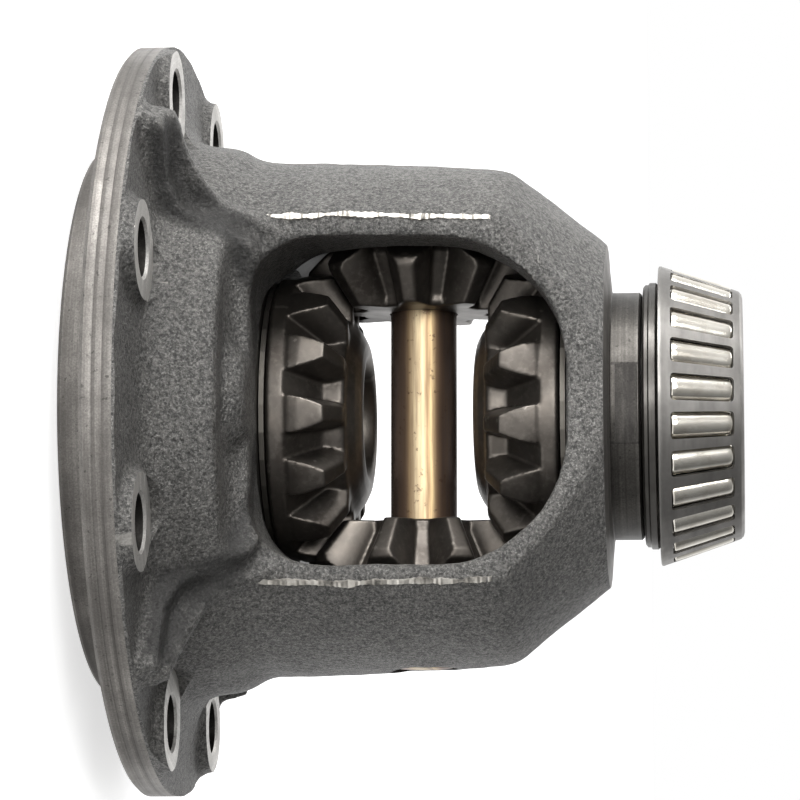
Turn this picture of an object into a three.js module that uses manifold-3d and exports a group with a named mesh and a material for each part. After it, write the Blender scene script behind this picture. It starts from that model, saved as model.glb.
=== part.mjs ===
// Automotive differential gear assembly: a cast one-piece case with a ring-gear
// flange, two side gears, two pinions on a cross pin, their thrust washers, and
// the tapered roller bearing cone on the case's journal.
//
// Millimetres. +Z runs along the axis of the case from the pilot face to the
// bearing, the cross pin lies along X, and the windows face -Y and +Y.

import * as THREE from "three";
import * as BufferGeometryUtils from "three/addons/utils/BufferGeometryUtils.js";
import Module from "manifold-3d";

const wasm = await Module();
wasm.setup();

// ---------------------------------------------------------------- dimensions

const DEG = Math.PI / 180;
const SIMPLIFY_TOLERANCE = 0.03;

// Case, radii and heights above the pilot face
const PIN_HEIGHT = 76.8;
const PILOT_RADIUS = 66.6;
const FLANGE_RADIUS = 91.1;
const FLANGE_SEAT_Z = 9.7;
const FLANGE_BACK_Z = 17.9;
const SPOTFACE_Z = 20.8;
const DRUM_RADIUS = 66;
const BARREL_BASE_RADIUS = 62;
const BARREL_TOP_RADIUS = 59.4;
const CONE_BASE_RADIUS = 57.2;
const CONE_BASE_Z = 100.3;
const END_FACE_RADIUS = 40.5;
const END_FACE_Z = 121.4;
const JOURNAL_RADIUS = 29.8;
const JOURNAL_START_Z = 122.9;
const BEARING_SHOULDER_Z = 129.9;
const SEAT_RADIUS = 22.3;
const CASE_HEIGHT = 153.8;

// Case, openings
const BOLT_COUNT = 8;
const BOLT_CIRCLE_RADIUS = 80;
const BOLT_FIRST_ANGLE = 22.5;
const BOLT_HOLE_RADIUS = 6.5;
const BOSS_RADIUS = 12;
const WINDOW_X_MIN = -37.2;
const WINDOW_X_MAX = 38.6;
const WINDOW_Z_MIN = PIN_HEIGHT - 36;
const WINDOW_Z_MAX = PIN_HEIGHT + 36.4;
const WINDOW_LOW_CORNER = 14.5;
const WINDOW_HIGH_CORNER = 30;
const FLAT_LOW_Y = 45.8;
const FLAT_HIGH_Y = 41;
const CAVITY_SPHERE_RADIUS = 47.8;
const GEAR_POCKET_RADIUS = 36.6;
const GEAR_SEAT_DISTANCE = 36.1;
const HUB_BORE_RADIUS = 20;
const HUB_BORE_DISTANCE = 49.5;
const AXLE_BORE_RADIUS = 16.2;
const RECESS_INNER_RADIUS = 42;
const RECESS_OUTER_RADIUS = 57.5;
const RECESS_DEPTH = 17;
const HUB_FACE_Z = 2;
const RIB_ROOT = [42.3, 46.2]; // corner of the barrel where each gusset starts
const RIB_DIRECTION = [0.88, 0.475]; // from there to the rim

// Cross pin and its lock pin
const PIN_RADIUS = 8;
const PIN_HALF_LENGTH = 60.6;
const PIN_BOSS_RADIUS = 10.5;
const PIN_BOSS_REACH = 61;
const LOCK_PIN_RADIUS = 2.5;
const LOCK_PIN_X = 54;
const LOCK_PIN_LOW_Z = 58;
const LOCK_PIN_HIGH_Z = 87;
const CLEARANCE = 0.3;

// Straight bevel gears, cone apexes at the centre of the cross pin
const PINION_TEETH = 9;
const SIDE_TEETH = 14;
const PRESSURE_ANGLE = 25 * DEG;
const PINION_THICKNESS = 1.24;
const SIDE_THICKNESS = 0.72;
const PINION_ROOT_ANGLE = 29.4 * DEG;
const PINION_TIP_ANGLE = 40 * DEG;
const SIDE_ROOT_ANGLE = 48.6 * DEG;
const SIDE_TIP_ANGLE = 59.7 * DEG;

const SIDE_TOE = 16.4;
const SIDE_OUTER_RADIUS = 35.2;
const SIDE_BAND_RADIUS = 34.3;
const SIDE_BACK = 34.35;
const SIDE_HUB_RADIUS = HUB_BORE_RADIUS - CLEARANCE;
const SIDE_HUB_END = 48.5;
const SPLINE_COUNT = 16;
const SPLINE_INNER_RADIUS = 14.4;
const SPLINE_OUTER_RADIUS = 15.6;

const PINION_TOE = 25.5;
const PINION_TOE_RADIUS = 15.8;
const PINION_OUTER_RADIUS = 28.2;
const PINION_BACK_SPHERE = 46.4;

// Rest phase of the gear train: the azimuth of one tooth of each gear
const SIDE_PITCH = 360 / SIDE_TEETH;
const PINION_PITCH = 360 / PINION_TEETH;
const BEARING_SIDE_PHASE = 16.8;
const FLANGE_SIDE_PHASE = SIDE_PITCH / 2 - BEARING_SIDE_PHASE;
const LOWER_PINION_PHASE = PINION_PITCH * (0.25 - BEARING_SIDE_PHASE / SIDE_PITCH);
const UPPER_PINION_PHASE = PINION_PITCH * (BEARING_SIDE_PHASE / SIDE_PITCH - 0.75);

// Thrust washers
const FLAT_WASHER_INNER = 20.4;
const FLAT_WASHER_OUTER = 33.4;
const FLAT_WASHER_NEAR = SIDE_BACK + CLEARANCE;
const FLAT_WASHER_FAR = GEAR_SEAT_DISTANCE - CLEARANCE;
const CUPPED_WASHER_NEAR = PINION_BACK_SPHERE + CLEARANCE;
const CUPPED_WASHER_FAR = CAVITY_SPHERE_RADIUS - CLEARANCE;
const CUPPED_WASHER_INNER = 8.8;
const CUPPED_WASHER_OUTER = 21.5;

// Tapered roller bearing cone
const RING_BORE_RADIUS = SEAT_RADIUS + CLEARANCE;
const RING_LOW_Z = BEARING_SHOULDER_Z + 0.4;
const RING_HIGH_Z = 153.1;
const RIB_RADIUS = 32;
const RIB_TOP_Z = 133.9;
const SMALL_RIB_RADIUS = 25.7;
const ROLLER_COUNT = 24;
const ROLLER_FIRST_ANGLE = 4.9;
const ROLLER_TILT = 16.9 * DEG;
const ROLLER_MID_RADIUS = 29.85;
const ROLLER_MID_Z = PIN_HEIGHT + 66.6;
const ROLLER_LENGTH = 15;
const ROLLER_BIG_RADIUS = 3.5;
const ROLLER_SMALL_RADIUS = 3.05;
const ROLLER_SIDES = 12;
const CAGE_LOW_RADIUS = 36.1;
const CAGE_LOW_Z = PIN_HEIGHT + 57.2;
const CAGE_HIGH_RADIUS = 29.8;
const CAGE_HIGH_Z = PIN_HEIGHT + 76.2;
const CAGE_THICKNESS = 0.9;
const POCKET_WIDTH = 6.3;
const POCKET_LENGTH = 15.8;

// ------------------------------------------------------------------- helpers

// A closed geometry as a manifold, turned outward if its faces point inward.
function solid(geometry) {
  const bare = geometry.index ? geometry.clone() : BufferGeometryUtils.mergeVertices(geometry);
  bare.deleteAttribute("normal");
  bare.deleteAttribute("uv");
  const merged = BufferGeometryUtils.mergeVertices(bare, 1e-4);
  const position = merged.getAttribute("position").array;
  const index = Array.from(merged.index.array);
  const triangles = [];
  for (let i = 0; i < index.length; i += 3) {
    const [a, b, c] = index.slice(i, i + 3);
    if (a !== b && b !== c && c !== a) triangles.push(a, b, c);
  }
  if (signedVolume(position, triangles) < 0) triangles.reverse();
  return new wasm.Manifold(new wasm.Mesh({
    numProp: 3,
    vertProperties: new Float32Array(position),
    triVerts: new Uint32Array(triangles),
  }));
}

function signedVolume(position, triangles) {
  const a = new THREE.Vector3();
  const b = new THREE.Vector3();
  const c = new THREE.Vector3();
  let sum = 0;
  for (let i = 0; i < triangles.length; i += 3) {
    a.fromArray(position, 3 * triangles[i]);
    b.fromArray(position, 3 * triangles[i + 1]);
    c.fromArray(position, 3 * triangles[i + 2]);
    sum += a.dot(b.cross(c));
  }
  return sum / 6;
}

// A body of revolution about Z from [radius, z] pairs.
function turned(profile, segments) {
  const points = profile.map(([radius, z]) => new THREE.Vector2(radius, z));
  const geometry = new THREE.LatheGeometry(points, segments);
  geometry.rotateX(Math.PI / 2);
  return solid(geometry);
}

// A closed ring of revolution: the profile comes back to its first point.
function ring(profile, segments) {
  return turned([...profile, profile[0]], segments);
}

function cylinderAlongZ(radius, lowZ, highZ, segments, x = 0, y = 0) {
  const geometry = new THREE.CylinderGeometry(radius, radius, highZ - lowZ, segments);
  geometry.rotateX(Math.PI / 2);
  geometry.translate(x, y, (lowZ + highZ) / 2);
  return solid(geometry);
}

function cylinderAlongX(radius, lowX, highX, segments, z) {
  const geometry = new THREE.CylinderGeometry(radius, radius, highX - lowX, segments);
  geometry.rotateZ(Math.PI / 2);
  geometry.translate((lowX + highX) / 2, 0, z);
  return solid(geometry);
}

// A flat outline of [x, y] pairs with the given thickness, centred on its plane.
function plate(outline, thickness) {
  const shape = new THREE.Shape(outline.map(([x, y]) => new THREE.Vector2(x, y)));
  return extruded(shape, thickness);
}

function extruded(shape, thickness, curveSegments = 6) {
  const settings = { depth: thickness, bevelEnabled: false, curveSegments };
  const geometry = new THREE.ExtrudeGeometry(shape, settings);
  geometry.translate(0, 0, -thickness / 2);
  return geometry;
}

function arc(centreX, centreY, radius, fromDeg, toDeg, steps) {
  const points = [];
  for (let i = 0; i <= steps; i += 1) {
    const angle = (fromDeg + ((toDeg - fromDeg) * i) / steps) * DEG;
    points.push([centreX + radius * Math.cos(angle), centreY + radius * Math.sin(angle)]);
  }
  return points;
}

// A point at the given azimuth, counted from -Y towards -X.
function around(radius, azimuthDeg) {
  const angle = azimuthDeg * DEG;
  return [-radius * Math.sin(angle), -radius * Math.cos(angle)];
}

function named(name, manifold, material) {
  const result = manifold.simplify(SIMPLIFY_TOLERANCE).getMesh();
  const geometry = new THREE.BufferGeometry();
  geometry.setAttribute("position", new THREE.BufferAttribute(new Float32Array(result.vertProperties), 3));
  geometry.setIndex(new THREE.BufferAttribute(new Uint32Array(result.triVerts), 1));
  const mesh = new THREE.Mesh(geometry, material);
  mesh.name = name;
  return mesh;
}

function metal(color, roughness, metalness) {
  return new THREE.MeshStandardMaterial({ color, roughness, metalness });
}

// Puts a body whose axis is local +Z at the apex, pointing along axis, with its
// local X towards -Y and then turned by spin about its own axis.
function placeOnAxis(mesh, axis, spinDeg) {
  const localX = new THREE.Vector3(0, -1, 0);
  const localY = new THREE.Vector3().crossVectors(axis, localX);
  const basis = new THREE.Matrix4().makeBasis(localX, localY, axis);
  mesh.quaternion.setFromRotationMatrix(basis);
  mesh.rotateZ(spinDeg * DEG);
  mesh.position.set(0, 0, PIN_HEIGHT);
  return mesh;
}

// ---------------------------------------------------------------------- case

function caseBlank() {
  return turned([
    [0, 0],
    [PILOT_RADIUS - 0.8, 0],
    [PILOT_RADIUS, 0.8],
    [PILOT_RADIUS, FLANGE_SEAT_Z],
    [FLANGE_RADIUS - 0.9, FLANGE_SEAT_Z],
    [FLANGE_RADIUS, FLANGE_SEAT_Z + 0.9],
    [FLANGE_RADIUS, FLANGE_BACK_Z - 0.6],
    [FLANGE_RADIUS - 1, FLANGE_BACK_Z + 0.4],
    [DRUM_RADIUS + 4, SPOTFACE_Z - 0.4],
    [DRUM_RADIUS + 1, SPOTFACE_Z + 0.8],
    [DRUM_RADIUS, SPOTFACE_Z + 3.6],
    [DRUM_RADIUS, 31.8],
    [DRUM_RADIUS - 1.2, 34.6],
    [BARREL_BASE_RADIUS, 38.2],
    [BARREL_TOP_RADIUS, 95],
    [CONE_BASE_RADIUS + 1.2, 98.4],
    [CONE_BASE_RADIUS, CONE_BASE_Z],
    [END_FACE_RADIUS, END_FACE_Z],
    [JOURNAL_RADIUS + 0.8, JOURNAL_START_Z - 0.2],
    [JOURNAL_RADIUS, JOURNAL_START_Z],
    [JOURNAL_RADIUS, BEARING_SHOULDER_Z],
    [SEAT_RADIUS, BEARING_SHOULDER_Z],
    [SEAT_RADIUS, CASE_HEIGHT - 1.2],
    [SEAT_RADIUS - 1, CASE_HEIGHT],
    [0, CASE_HEIGHT],
  ], 60);
}

// One layer of a gusset: an upright plate between two distances from the barrel corner's plane.
function ribLayer(outline, sideX, sideY, near, far) {
  const geometry = plate(outline, far - near);
  geometry.rotateX(Math.PI / 2);
  geometry.rotateZ(Math.atan2(sideY * RIB_DIRECTION[1], sideX * RIB_DIRECTION[0]));
  const middle = (near + far) / 2;
  geometry.translate(
    sideX * (RIB_ROOT[0] - middle * RIB_DIRECTION[1]),
    sideY * (RIB_ROOT[1] + middle * RIB_DIRECTION[0]),
    0,
  );
  return solid(geometry);
}

// Gusset between the corner of the barrel and the rim: a tall ridge, and a lower one beside the window.
function rib(sideX, sideY) {
  const tallRidge = [
    [-6, 12],
    [30, 12],
    [29.5, 19],
    [27.2, 25.6],
    [16.5, 28],
    [8, 31.6],
    [4.4, 35.6],
    [2, 42.5],
    [-6, 50],
  ];
  const lowRidge = [
    [-10, 12],
    [30, 12],
    [29.5, 19],
    [27.2, 24.4],
    [12, 25.4],
    [4.9, 27],
    [-0.6, 34.8],
    [-4.5, 41],
    [-10, 44],
  ];
  const rim = cylinderAlongZ(FLANGE_RADIUS - 0.5, 0, 60, 60);
  return ribLayer(tallRidge, sideX, sideY, -1, 3.6)
    .add(ribLayer(lowRidge, sideX, sideY, 3.5, 8.5))
    .intersect(rim);
}

// The two long sides of the barrel are flats that close in towards the bearing.
function sideFlatCutter(side) {
  const reach = 75;
  const outline = [
    [reach, 35.6],
    [54, 35.6],
    [48.6, 37.4],
    [46.2, 40.4],
    [FLAT_LOW_Y, 44],
    [FLAT_HIGH_Y, END_FACE_Z + 0.6],
    [reach, END_FACE_Z + 0.6],
  ];
  const geometry = plate(outline.map(([y, z]) => [side * y, z]), 2 * reach);
  geometry.rotateY(Math.PI / 2);
  geometry.rotateX(Math.PI / 2);
  return solid(geometry);
}

// Rounded pad where the drum meets the middle of each flat side.
function sidePad(side) {
  const geometry = new THREE.SphereGeometry(1, 16, 8);
  geometry.scale(14, 10, 9);
  geometry.translate(0, side * 47, 33);
  return solid(geometry);
}

function windowCutter() {
  const depth = 200;
  const low = WINDOW_LOW_CORNER;
  const high = WINDOW_HIGH_CORNER;
  const outline = [
    ...arc(WINDOW_X_MIN + low, WINDOW_Z_MIN + low, low, 180, 270, 5),
    ...arc(WINDOW_X_MAX - low, WINDOW_Z_MIN + low, low, 270, 360, 5),
    ...arc(WINDOW_X_MAX - high, WINDOW_Z_MAX - high, high, 0, 90, 8),
    ...arc(WINDOW_X_MIN + high, WINDOW_Z_MAX - high, high, 90, 180, 8),
  ];
  const geometry = plate(outline, depth);
  geometry.rotateX(Math.PI / 2);
  return solid(geometry);
}

function cavityCutter() {
  const rimAngle = Math.acos(GEAR_POCKET_RADIUS / CAVITY_SPHERE_RADIUS) / DEG;
  const wall = arc(0, PIN_HEIGHT, CAVITY_SPHERE_RADIUS, -rimAngle, rimAngle, 8);
  return turned([
    [0, PIN_HEIGHT - GEAR_SEAT_DISTANCE],
    [GEAR_POCKET_RADIUS, PIN_HEIGHT - GEAR_SEAT_DISTANCE],
    ...wall,
    [GEAR_POCKET_RADIUS, PIN_HEIGHT + GEAR_SEAT_DISTANCE],
    [0, PIN_HEIGHT + GEAR_SEAT_DISTANCE],
  ], 48);
}

function axleBoreCutter() {
  return turned([
    [0, -1],
    [AXLE_BORE_RADIUS, -1],
    [AXLE_BORE_RADIUS, PIN_HEIGHT - HUB_BORE_DISTANCE],
    [HUB_BORE_RADIUS, PIN_HEIGHT - HUB_BORE_DISTANCE],
    [HUB_BORE_RADIUS, PIN_HEIGHT + HUB_BORE_DISTANCE],
    [AXLE_BORE_RADIUS, PIN_HEIGHT + HUB_BORE_DISTANCE],
    [AXLE_BORE_RADIUS, CASE_HEIGHT + 1],
    [0, CASE_HEIGHT + 1],
  ], 48);
}

// Hollow behind the pilot, around a central hub that stops short of its face.
function recessCutter() {
  return turned([
    [0, -1],
    [RECESS_OUTER_RADIUS + 0.6, -1],
    [RECESS_OUTER_RADIUS, 5],
    [RECESS_OUTER_RADIUS - 1, RECESS_DEPTH],
    [RECESS_INNER_RADIUS + 1, RECESS_DEPTH],
    [RECESS_INNER_RADIUS, HUB_FACE_Z],
    [0, HUB_FACE_Z],
  ], 48);
}

// Flats on the journal that give a puller room behind the bearing.
function pullerFlatCutter(side) {
  const depth = 28.4;
  const geometry = new THREE.BoxGeometry(40, 10, 6.6);
  geometry.translate(0, side * (depth + 5), BEARING_SHOULDER_Z - 2.6);
  return solid(geometry);
}

function differentialCase() {
  let body = caseBlank();
  for (const side of [-1, 1]) {
    body = body.subtract(sideFlatCutter(side));
    body = body.add(sidePad(side));
  }
  for (const sideX of [-1, 1]) {
    body = body.add(rib(sideX, -1)).add(rib(sideX, 1));
  }
  body = body.add(cylinderAlongX(PIN_BOSS_RADIUS, -PIN_BOSS_REACH, PIN_BOSS_REACH, 32, PIN_HEIGHT));
  for (let i = 0; i < BOLT_COUNT; i += 1) {
    const [x, y] = around(BOLT_CIRCLE_RADIUS, BOLT_FIRST_ANGLE + (i * 360) / BOLT_COUNT);
    const boss = cylinderAlongZ(BOSS_RADIUS, FLANGE_SEAT_Z + 2, SPOTFACE_Z, 18, x, y);
    const rim = cylinderAlongZ(FLANGE_RADIUS - 0.5, 0, SPOTFACE_Z + 1, 60);
    body = body.add(boss.intersect(rim));
    body = body.subtract(cylinderAlongZ(BOSS_RADIUS, SPOTFACE_Z, SPOTFACE_Z + 20, 18, x, y));
    body = body.subtract(cylinderAlongZ(BOLT_HOLE_RADIUS, 0, SPOTFACE_Z + 1, 14, x, y));
  }
  body = body.subtract(cavityCutter());
  body = body.subtract(windowCutter());
  body = body.subtract(axleBoreCutter());
  body = body.subtract(recessCutter());
  body = body.subtract(pullerFlatCutter(-1));
  body = body.subtract(pullerFlatCutter(1));
  body = body.subtract(cylinderAlongX(PIN_RADIUS + CLEARANCE, -70, 70, 28, PIN_HEIGHT));
  const lockHole = LOCK_PIN_RADIUS + CLEARANCE;
  body = body.subtract(cylinderAlongZ(lockHole, 0, LOCK_PIN_HIGH_Z + 0.5, 14, LOCK_PIN_X, 0));
  return body;
}

// ---------------------------------------------------------------- cross pin

function crossPin() {
  const chamfer = 1;
  const body = turned([
    [0, -PIN_HALF_LENGTH],
    [PIN_RADIUS - chamfer, -PIN_HALF_LENGTH],
    [PIN_RADIUS, -PIN_HALF_LENGTH + chamfer],
    [PIN_RADIUS, PIN_HALF_LENGTH - chamfer],
    [PIN_RADIUS - chamfer, PIN_HALF_LENGTH],
    [0, PIN_HALF_LENGTH],
  ], 28);
  const hole = cylinderAlongX(LOCK_PIN_RADIUS + CLEARANCE, -12, 12, 14, LOCK_PIN_X);
  return body.subtract(hole);
}

// Rolled spring pin: a tube with a slot along its length.
function lockPin() {
  const wall = 1;
  const halfSlotDeg = 14;
  const outline = [
    ...arc(0, 0, LOCK_PIN_RADIUS, halfSlotDeg, 360 - halfSlotDeg, 16),
    ...arc(0, 0, LOCK_PIN_RADIUS - wall, 360 - halfSlotDeg, halfSlotDeg, 12),
  ];
  return solid(plate(outline, LOCK_PIN_HIGH_Z - LOCK_PIN_LOW_Z));
}

// --------------------------------------------------------------- bevel gears

// Spherical involute function of a cone at polar angle theta.
function involute(theta, baseAngle) {
  const angle = Math.max(theta, baseAngle + 1e-9);
  const roll = Math.acos(Math.min(1, Math.cos(angle) / Math.cos(baseAngle))) / Math.sin(baseAngle);
  return roll - Math.acos(Math.min(1, Math.tan(baseAngle) / Math.tan(angle)));
}

// Half the angular thickness of a tooth at polar angle theta.
function halfTooth(theta, teeth, mateTeeth, thickness) {
  const pitchAngle = Math.atan2(teeth, mateTeeth);
  const baseAngle = Math.asin(Math.sin(pitchAngle) * Math.cos(PRESSURE_ANGLE));
  const atPitch = (Math.PI / (2 * teeth)) * thickness;
  return atPitch + involute(pitchAngle, baseAngle) - involute(theta, baseAngle);
}

// One tooth as a wedge that tapers to the apex, before its ends are trimmed.
function toothWedge({ teeth, mateTeeth, thickness, rootAngle, tipAngle }, nearCone, farCone) {
  const buried = 4 * DEG;
  const flankSteps = 3;
  const section = [];
  for (let i = 0; i <= flankSteps; i += 1) {
    const theta = rootAngle + ((tipAngle - rootAngle) * i) / flankSteps;
    section.push([theta, halfTooth(theta, teeth, mateTeeth, thickness)]);
  }
  section.unshift([rootAngle - buried, section[0][1]]);
  section.push([tipAngle + buried, section[section.length - 1][1]]);
  const loop = [...section, ...section.map(([theta, half]) => [theta, -half]).reverse()];
  const vertices = [];
  for (const cone of [nearCone, farCone]) {
    for (const [theta, azimuth] of loop) {
      const radius = cone * Math.sin(theta);
      vertices.push(radius * Math.cos(azimuth), radius * Math.sin(azimuth), cone * Math.cos(theta));
    }
  }
  const count = loop.length;
  const faces = [];
  for (let i = 0; i < count; i += 1) {
    const next = (i + 1) % count;
    faces.push(i, next, count + i, next, count + next, count + i);
  }
  for (let i = 0; i < section.length - 1; i += 1) {
    const mirror = count - 1 - i;
    faces.push(i, mirror, i + 1, i + 1, mirror, mirror - 1);
    faces.push(count + i, count + i + 1, count + mirror);
    faces.push(count + i + 1, count + mirror - 1, count + mirror);
  }
  const geometry = new THREE.BufferGeometry();
  geometry.setAttribute("position", new THREE.Float32BufferAttribute(vertices, 3));
  geometry.setIndex(faces);
  return geometry;
}

function toothedBody(core, envelope, gear, nearCone, farCone) {
  const wedge = toothWedge(gear, nearCone, farCone);
  let teeth = null;
  for (let i = 0; i < gear.teeth; i += 1) {
    const tooth = solid(wedge.clone().rotateZ((2 * Math.PI * i) / gear.teeth));
    teeth = teeth ? teeth.add(tooth) : tooth;
  }
  return core.add(teeth.intersect(envelope));
}

function splineCutter() {
  const outline = [];
  const pitch = 360 / SPLINE_COUNT;
  for (let i = 0; i < SPLINE_COUNT; i += 1) {
    outline.push(...arc(0, 0, SPLINE_INNER_RADIUS, i * pitch, (i + 0.4) * pitch, 1));
    outline.push(...arc(0, 0, SPLINE_OUTER_RADIUS, (i + 0.55) * pitch, (i + 0.85) * pitch, 1));
  }
  return solid(plate(outline, 200));
}

function sideGear() {
  const gear = {
    teeth: SIDE_TEETH,
    mateTeeth: PINION_TEETH,
    thickness: SIDE_THICKNESS,
    rootAngle: SIDE_ROOT_ANGLE,
    tipAngle: SIDE_TIP_ANGLE,
  };
  const toeBossRadius = 24.2;
  const core = turned([
    [0, 13.2],
    [17, 13.2],
    [toeBossRadius - 0.4, SIDE_TOE],
    [toeBossRadius, SIDE_TOE + 0.4],
    [toeBossRadius, toeBossRadius / Math.tan(SIDE_ROOT_ANGLE)],
    [SIDE_BAND_RADIUS, SIDE_BAND_RADIUS / Math.tan(SIDE_ROOT_ANGLE)],
    [SIDE_BAND_RADIUS, SIDE_BACK - 0.8],
    [SIDE_BAND_RADIUS - 0.8, SIDE_BACK],
    [SIDE_HUB_RADIUS, SIDE_BACK],
    [SIDE_HUB_RADIUS, SIDE_HUB_END - 1],
    [SIDE_HUB_RADIUS - 1, SIDE_HUB_END],
    [0, SIDE_HUB_END],
  ], 2 * SIDE_TEETH);
  const envelope = turned([
    [0, SIDE_TOE],
    [SIDE_TOE * Math.tan(SIDE_TIP_ANGLE), SIDE_TOE],
    [SIDE_OUTER_RADIUS, SIDE_OUTER_RADIUS / Math.tan(SIDE_TIP_ANGLE)],
    [SIDE_OUTER_RADIUS, 26.5],
    [SIDE_BAND_RADIUS + 0.2, 29.2],
    [SIDE_BAND_RADIUS - 0.5, 30.4],
    [0, 30.4],
  ], 2 * SIDE_TEETH);
  return toothedBody(core, envelope, gear, 18, 56).subtract(splineCutter());
}

function pinion() {
  const gear = {
    teeth: PINION_TEETH,
    mateTeeth: SIDE_TEETH,
    thickness: PINION_THICKNESS,
    rootAngle: PINION_ROOT_ANGLE,
    tipAngle: PINION_TIP_ANGLE,
  };
  const backRadius = 24.2;
  const boreRadius = PIN_RADIUS + CLEARANCE;
  const rimAngle = Math.asin(backRadius / PINION_BACK_SPHERE) / DEG;
  const back = arc(0, 0, PINION_BACK_SPHERE, 90 - rimAngle, 90, 4);
  const rootHeel = 23.2;
  const core = turned([
    [0, PINION_TOE],
    [PINION_TOE_RADIUS, PINION_TOE],
    [PINION_TOE_RADIUS, PINION_TOE_RADIUS / Math.tan(PINION_ROOT_ANGLE)],
    [rootHeel - 2, (rootHeel - 2) / Math.tan(PINION_ROOT_ANGLE)],
    ...back.slice(1),
  ], 3 * PINION_TEETH);
  const envelope = turned([
    [0, PINION_TOE],
    [PINION_TOE * Math.tan(PINION_TIP_ANGLE), PINION_TOE],
    [PINION_OUTER_RADIUS, PINION_OUTER_RADIUS / Math.tan(PINION_TIP_ANGLE)],
    [PINION_OUTER_RADIUS, 35.4],
    ...back,
  ], 3 * PINION_TEETH);
  const body = toothedBody(core, envelope, gear, 22, 52);
  return body.subtract(cylinderAlongZ(boreRadius, 20, 50, 28));
}

// ------------------------------------------------------------ thrust washers

function flatWasher() {
  return ring([
    [FLAT_WASHER_INNER, FLAT_WASHER_NEAR],
    [FLAT_WASHER_OUTER, FLAT_WASHER_NEAR],
    [FLAT_WASHER_OUTER, FLAT_WASHER_FAR],
    [FLAT_WASHER_INNER, FLAT_WASHER_FAR],
  ], 32);
}

function cuppedWasher() {
  const outerDeg = Math.acos(CUPPED_WASHER_OUTER / CUPPED_WASHER_FAR) / DEG;
  const innerDeg = Math.acos(CUPPED_WASHER_INNER / CUPPED_WASHER_FAR) / DEG;
  return ring([
    ...arc(0, 0, CUPPED_WASHER_NEAR, innerDeg, outerDeg, 3),
    ...arc(0, 0, CUPPED_WASHER_FAR, outerDeg, innerDeg, 3),
  ], 28);
}

// ------------------------------------------------------------------- bearing

// Radius of the roller's near side at a height, where the raceway follows it.
function racewayRadius(z) {
  const taper = Math.atan((ROLLER_BIG_RADIUS - ROLLER_SMALL_RADIUS) / ROLLER_LENGTH);
  const slope = Math.tan(ROLLER_TILT - taper);
  const midRoller = (ROLLER_BIG_RADIUS + ROLLER_SMALL_RADIUS) / 2;
  const midRadius = ROLLER_MID_RADIUS - (midRoller + CLEARANCE) / Math.cos(ROLLER_TILT);
  return midRadius - (z - ROLLER_MID_Z) * slope;
}

function bearingInnerRing() {
  const racewayLowZ = RIB_TOP_Z + 0.5;
  const racewayHighZ = RING_HIGH_Z - 2.4;
  return ring([
    [RING_BORE_RADIUS + 0.9, RING_LOW_Z],
    [RIB_RADIUS - 0.6, RING_LOW_Z],
    [RIB_RADIUS, RING_LOW_Z + 0.6],
    [RIB_RADIUS - 0.3, RIB_TOP_Z - 0.9],
    [racewayRadius(racewayLowZ) - 0.3, RIB_TOP_Z - 0.1],
    [racewayRadius(racewayLowZ + 0.6), racewayLowZ + 0.6],
    [racewayRadius(racewayHighZ), racewayHighZ],
    [SMALL_RIB_RADIUS - 0.6, RING_HIGH_Z - 1.7],
    [SMALL_RIB_RADIUS - 0.6, RING_HIGH_Z - 0.4],
    [SMALL_RIB_RADIUS - 1.1, RING_HIGH_Z],
    [RING_BORE_RADIUS + 0.6, RING_HIGH_Z],
    [RING_BORE_RADIUS, RING_HIGH_Z - 0.6],
    [RING_BORE_RADIUS, RING_LOW_Z + 0.9],
  ], 32);
}

// A box that follows one roller, longer along X than the cage is thick.
function pocketCutter(azimuthDeg) {
  const geometry = new THREE.BoxGeometry(14, POCKET_WIDTH, POCKET_LENGTH);
  geometry.translate(5, 0, 0);
  geometry.rotateY(-ROLLER_TILT);
  geometry.translate(ROLLER_MID_RADIUS, 0, ROLLER_MID_Z);
  geometry.rotateZ((-90 - azimuthDeg) * DEG);
  return solid(geometry);
}

function bearingCage() {
  const flangeInner = 33;
  const noseInner = 27.4;
  let cage = ring([
    [CAGE_LOW_RADIUS, CAGE_LOW_Z],
    [CAGE_HIGH_RADIUS, CAGE_HIGH_Z],
    [CAGE_HIGH_RADIUS - 1, CAGE_HIGH_Z + 0.9],
    [noseInner, CAGE_HIGH_Z + 0.9],
    [noseInner, CAGE_HIGH_Z],
    [CAGE_HIGH_RADIUS - CAGE_THICKNESS - 0.7, CAGE_HIGH_Z - 0.4],
    [CAGE_LOW_RADIUS - CAGE_THICKNESS - 0.2, CAGE_LOW_Z + 0.9],
    [flangeInner, CAGE_LOW_Z + 0.9],
    [flangeInner, CAGE_LOW_Z],
  ], ROLLER_COUNT).rotate([0, 0, 180 / ROLLER_COUNT - ROLLER_FIRST_ANGLE]);
  for (let i = 0; i < ROLLER_COUNT; i += 1) {
    cage = cage.subtract(pocketCutter(ROLLER_FIRST_ANGLE + (i * 360) / ROLLER_COUNT));
  }
  return cage;
}

function rollerMesh(index) {
  const azimuth = ROLLER_FIRST_ANGLE + (index * 360) / ROLLER_COUNT;
  const geometry = new THREE.CylinderGeometry(
    ROLLER_SMALL_RADIUS,
    ROLLER_BIG_RADIUS,
    ROLLER_LENGTH,
    ROLLER_SIDES,
  );
  geometry.rotateX(Math.PI / 2);
  const number = String(index + 1).padStart(2, "0");
  const mesh = named(`bearing_roller_${number}`, solid(geometry), metal(0xb9b4a6, 0.18, 1));
  const [x, y] = around(ROLLER_MID_RADIUS, azimuth);
  mesh.position.set(x, y, ROLLER_MID_Z);
  mesh.rotation.order = "ZYX";
  mesh.rotation.set(0, -ROLLER_TILT, (-90 - azimuth) * DEG);
  return mesh;
}

// ------------------------------------------------------------------ assembly

const assembly = new THREE.Group();

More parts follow.
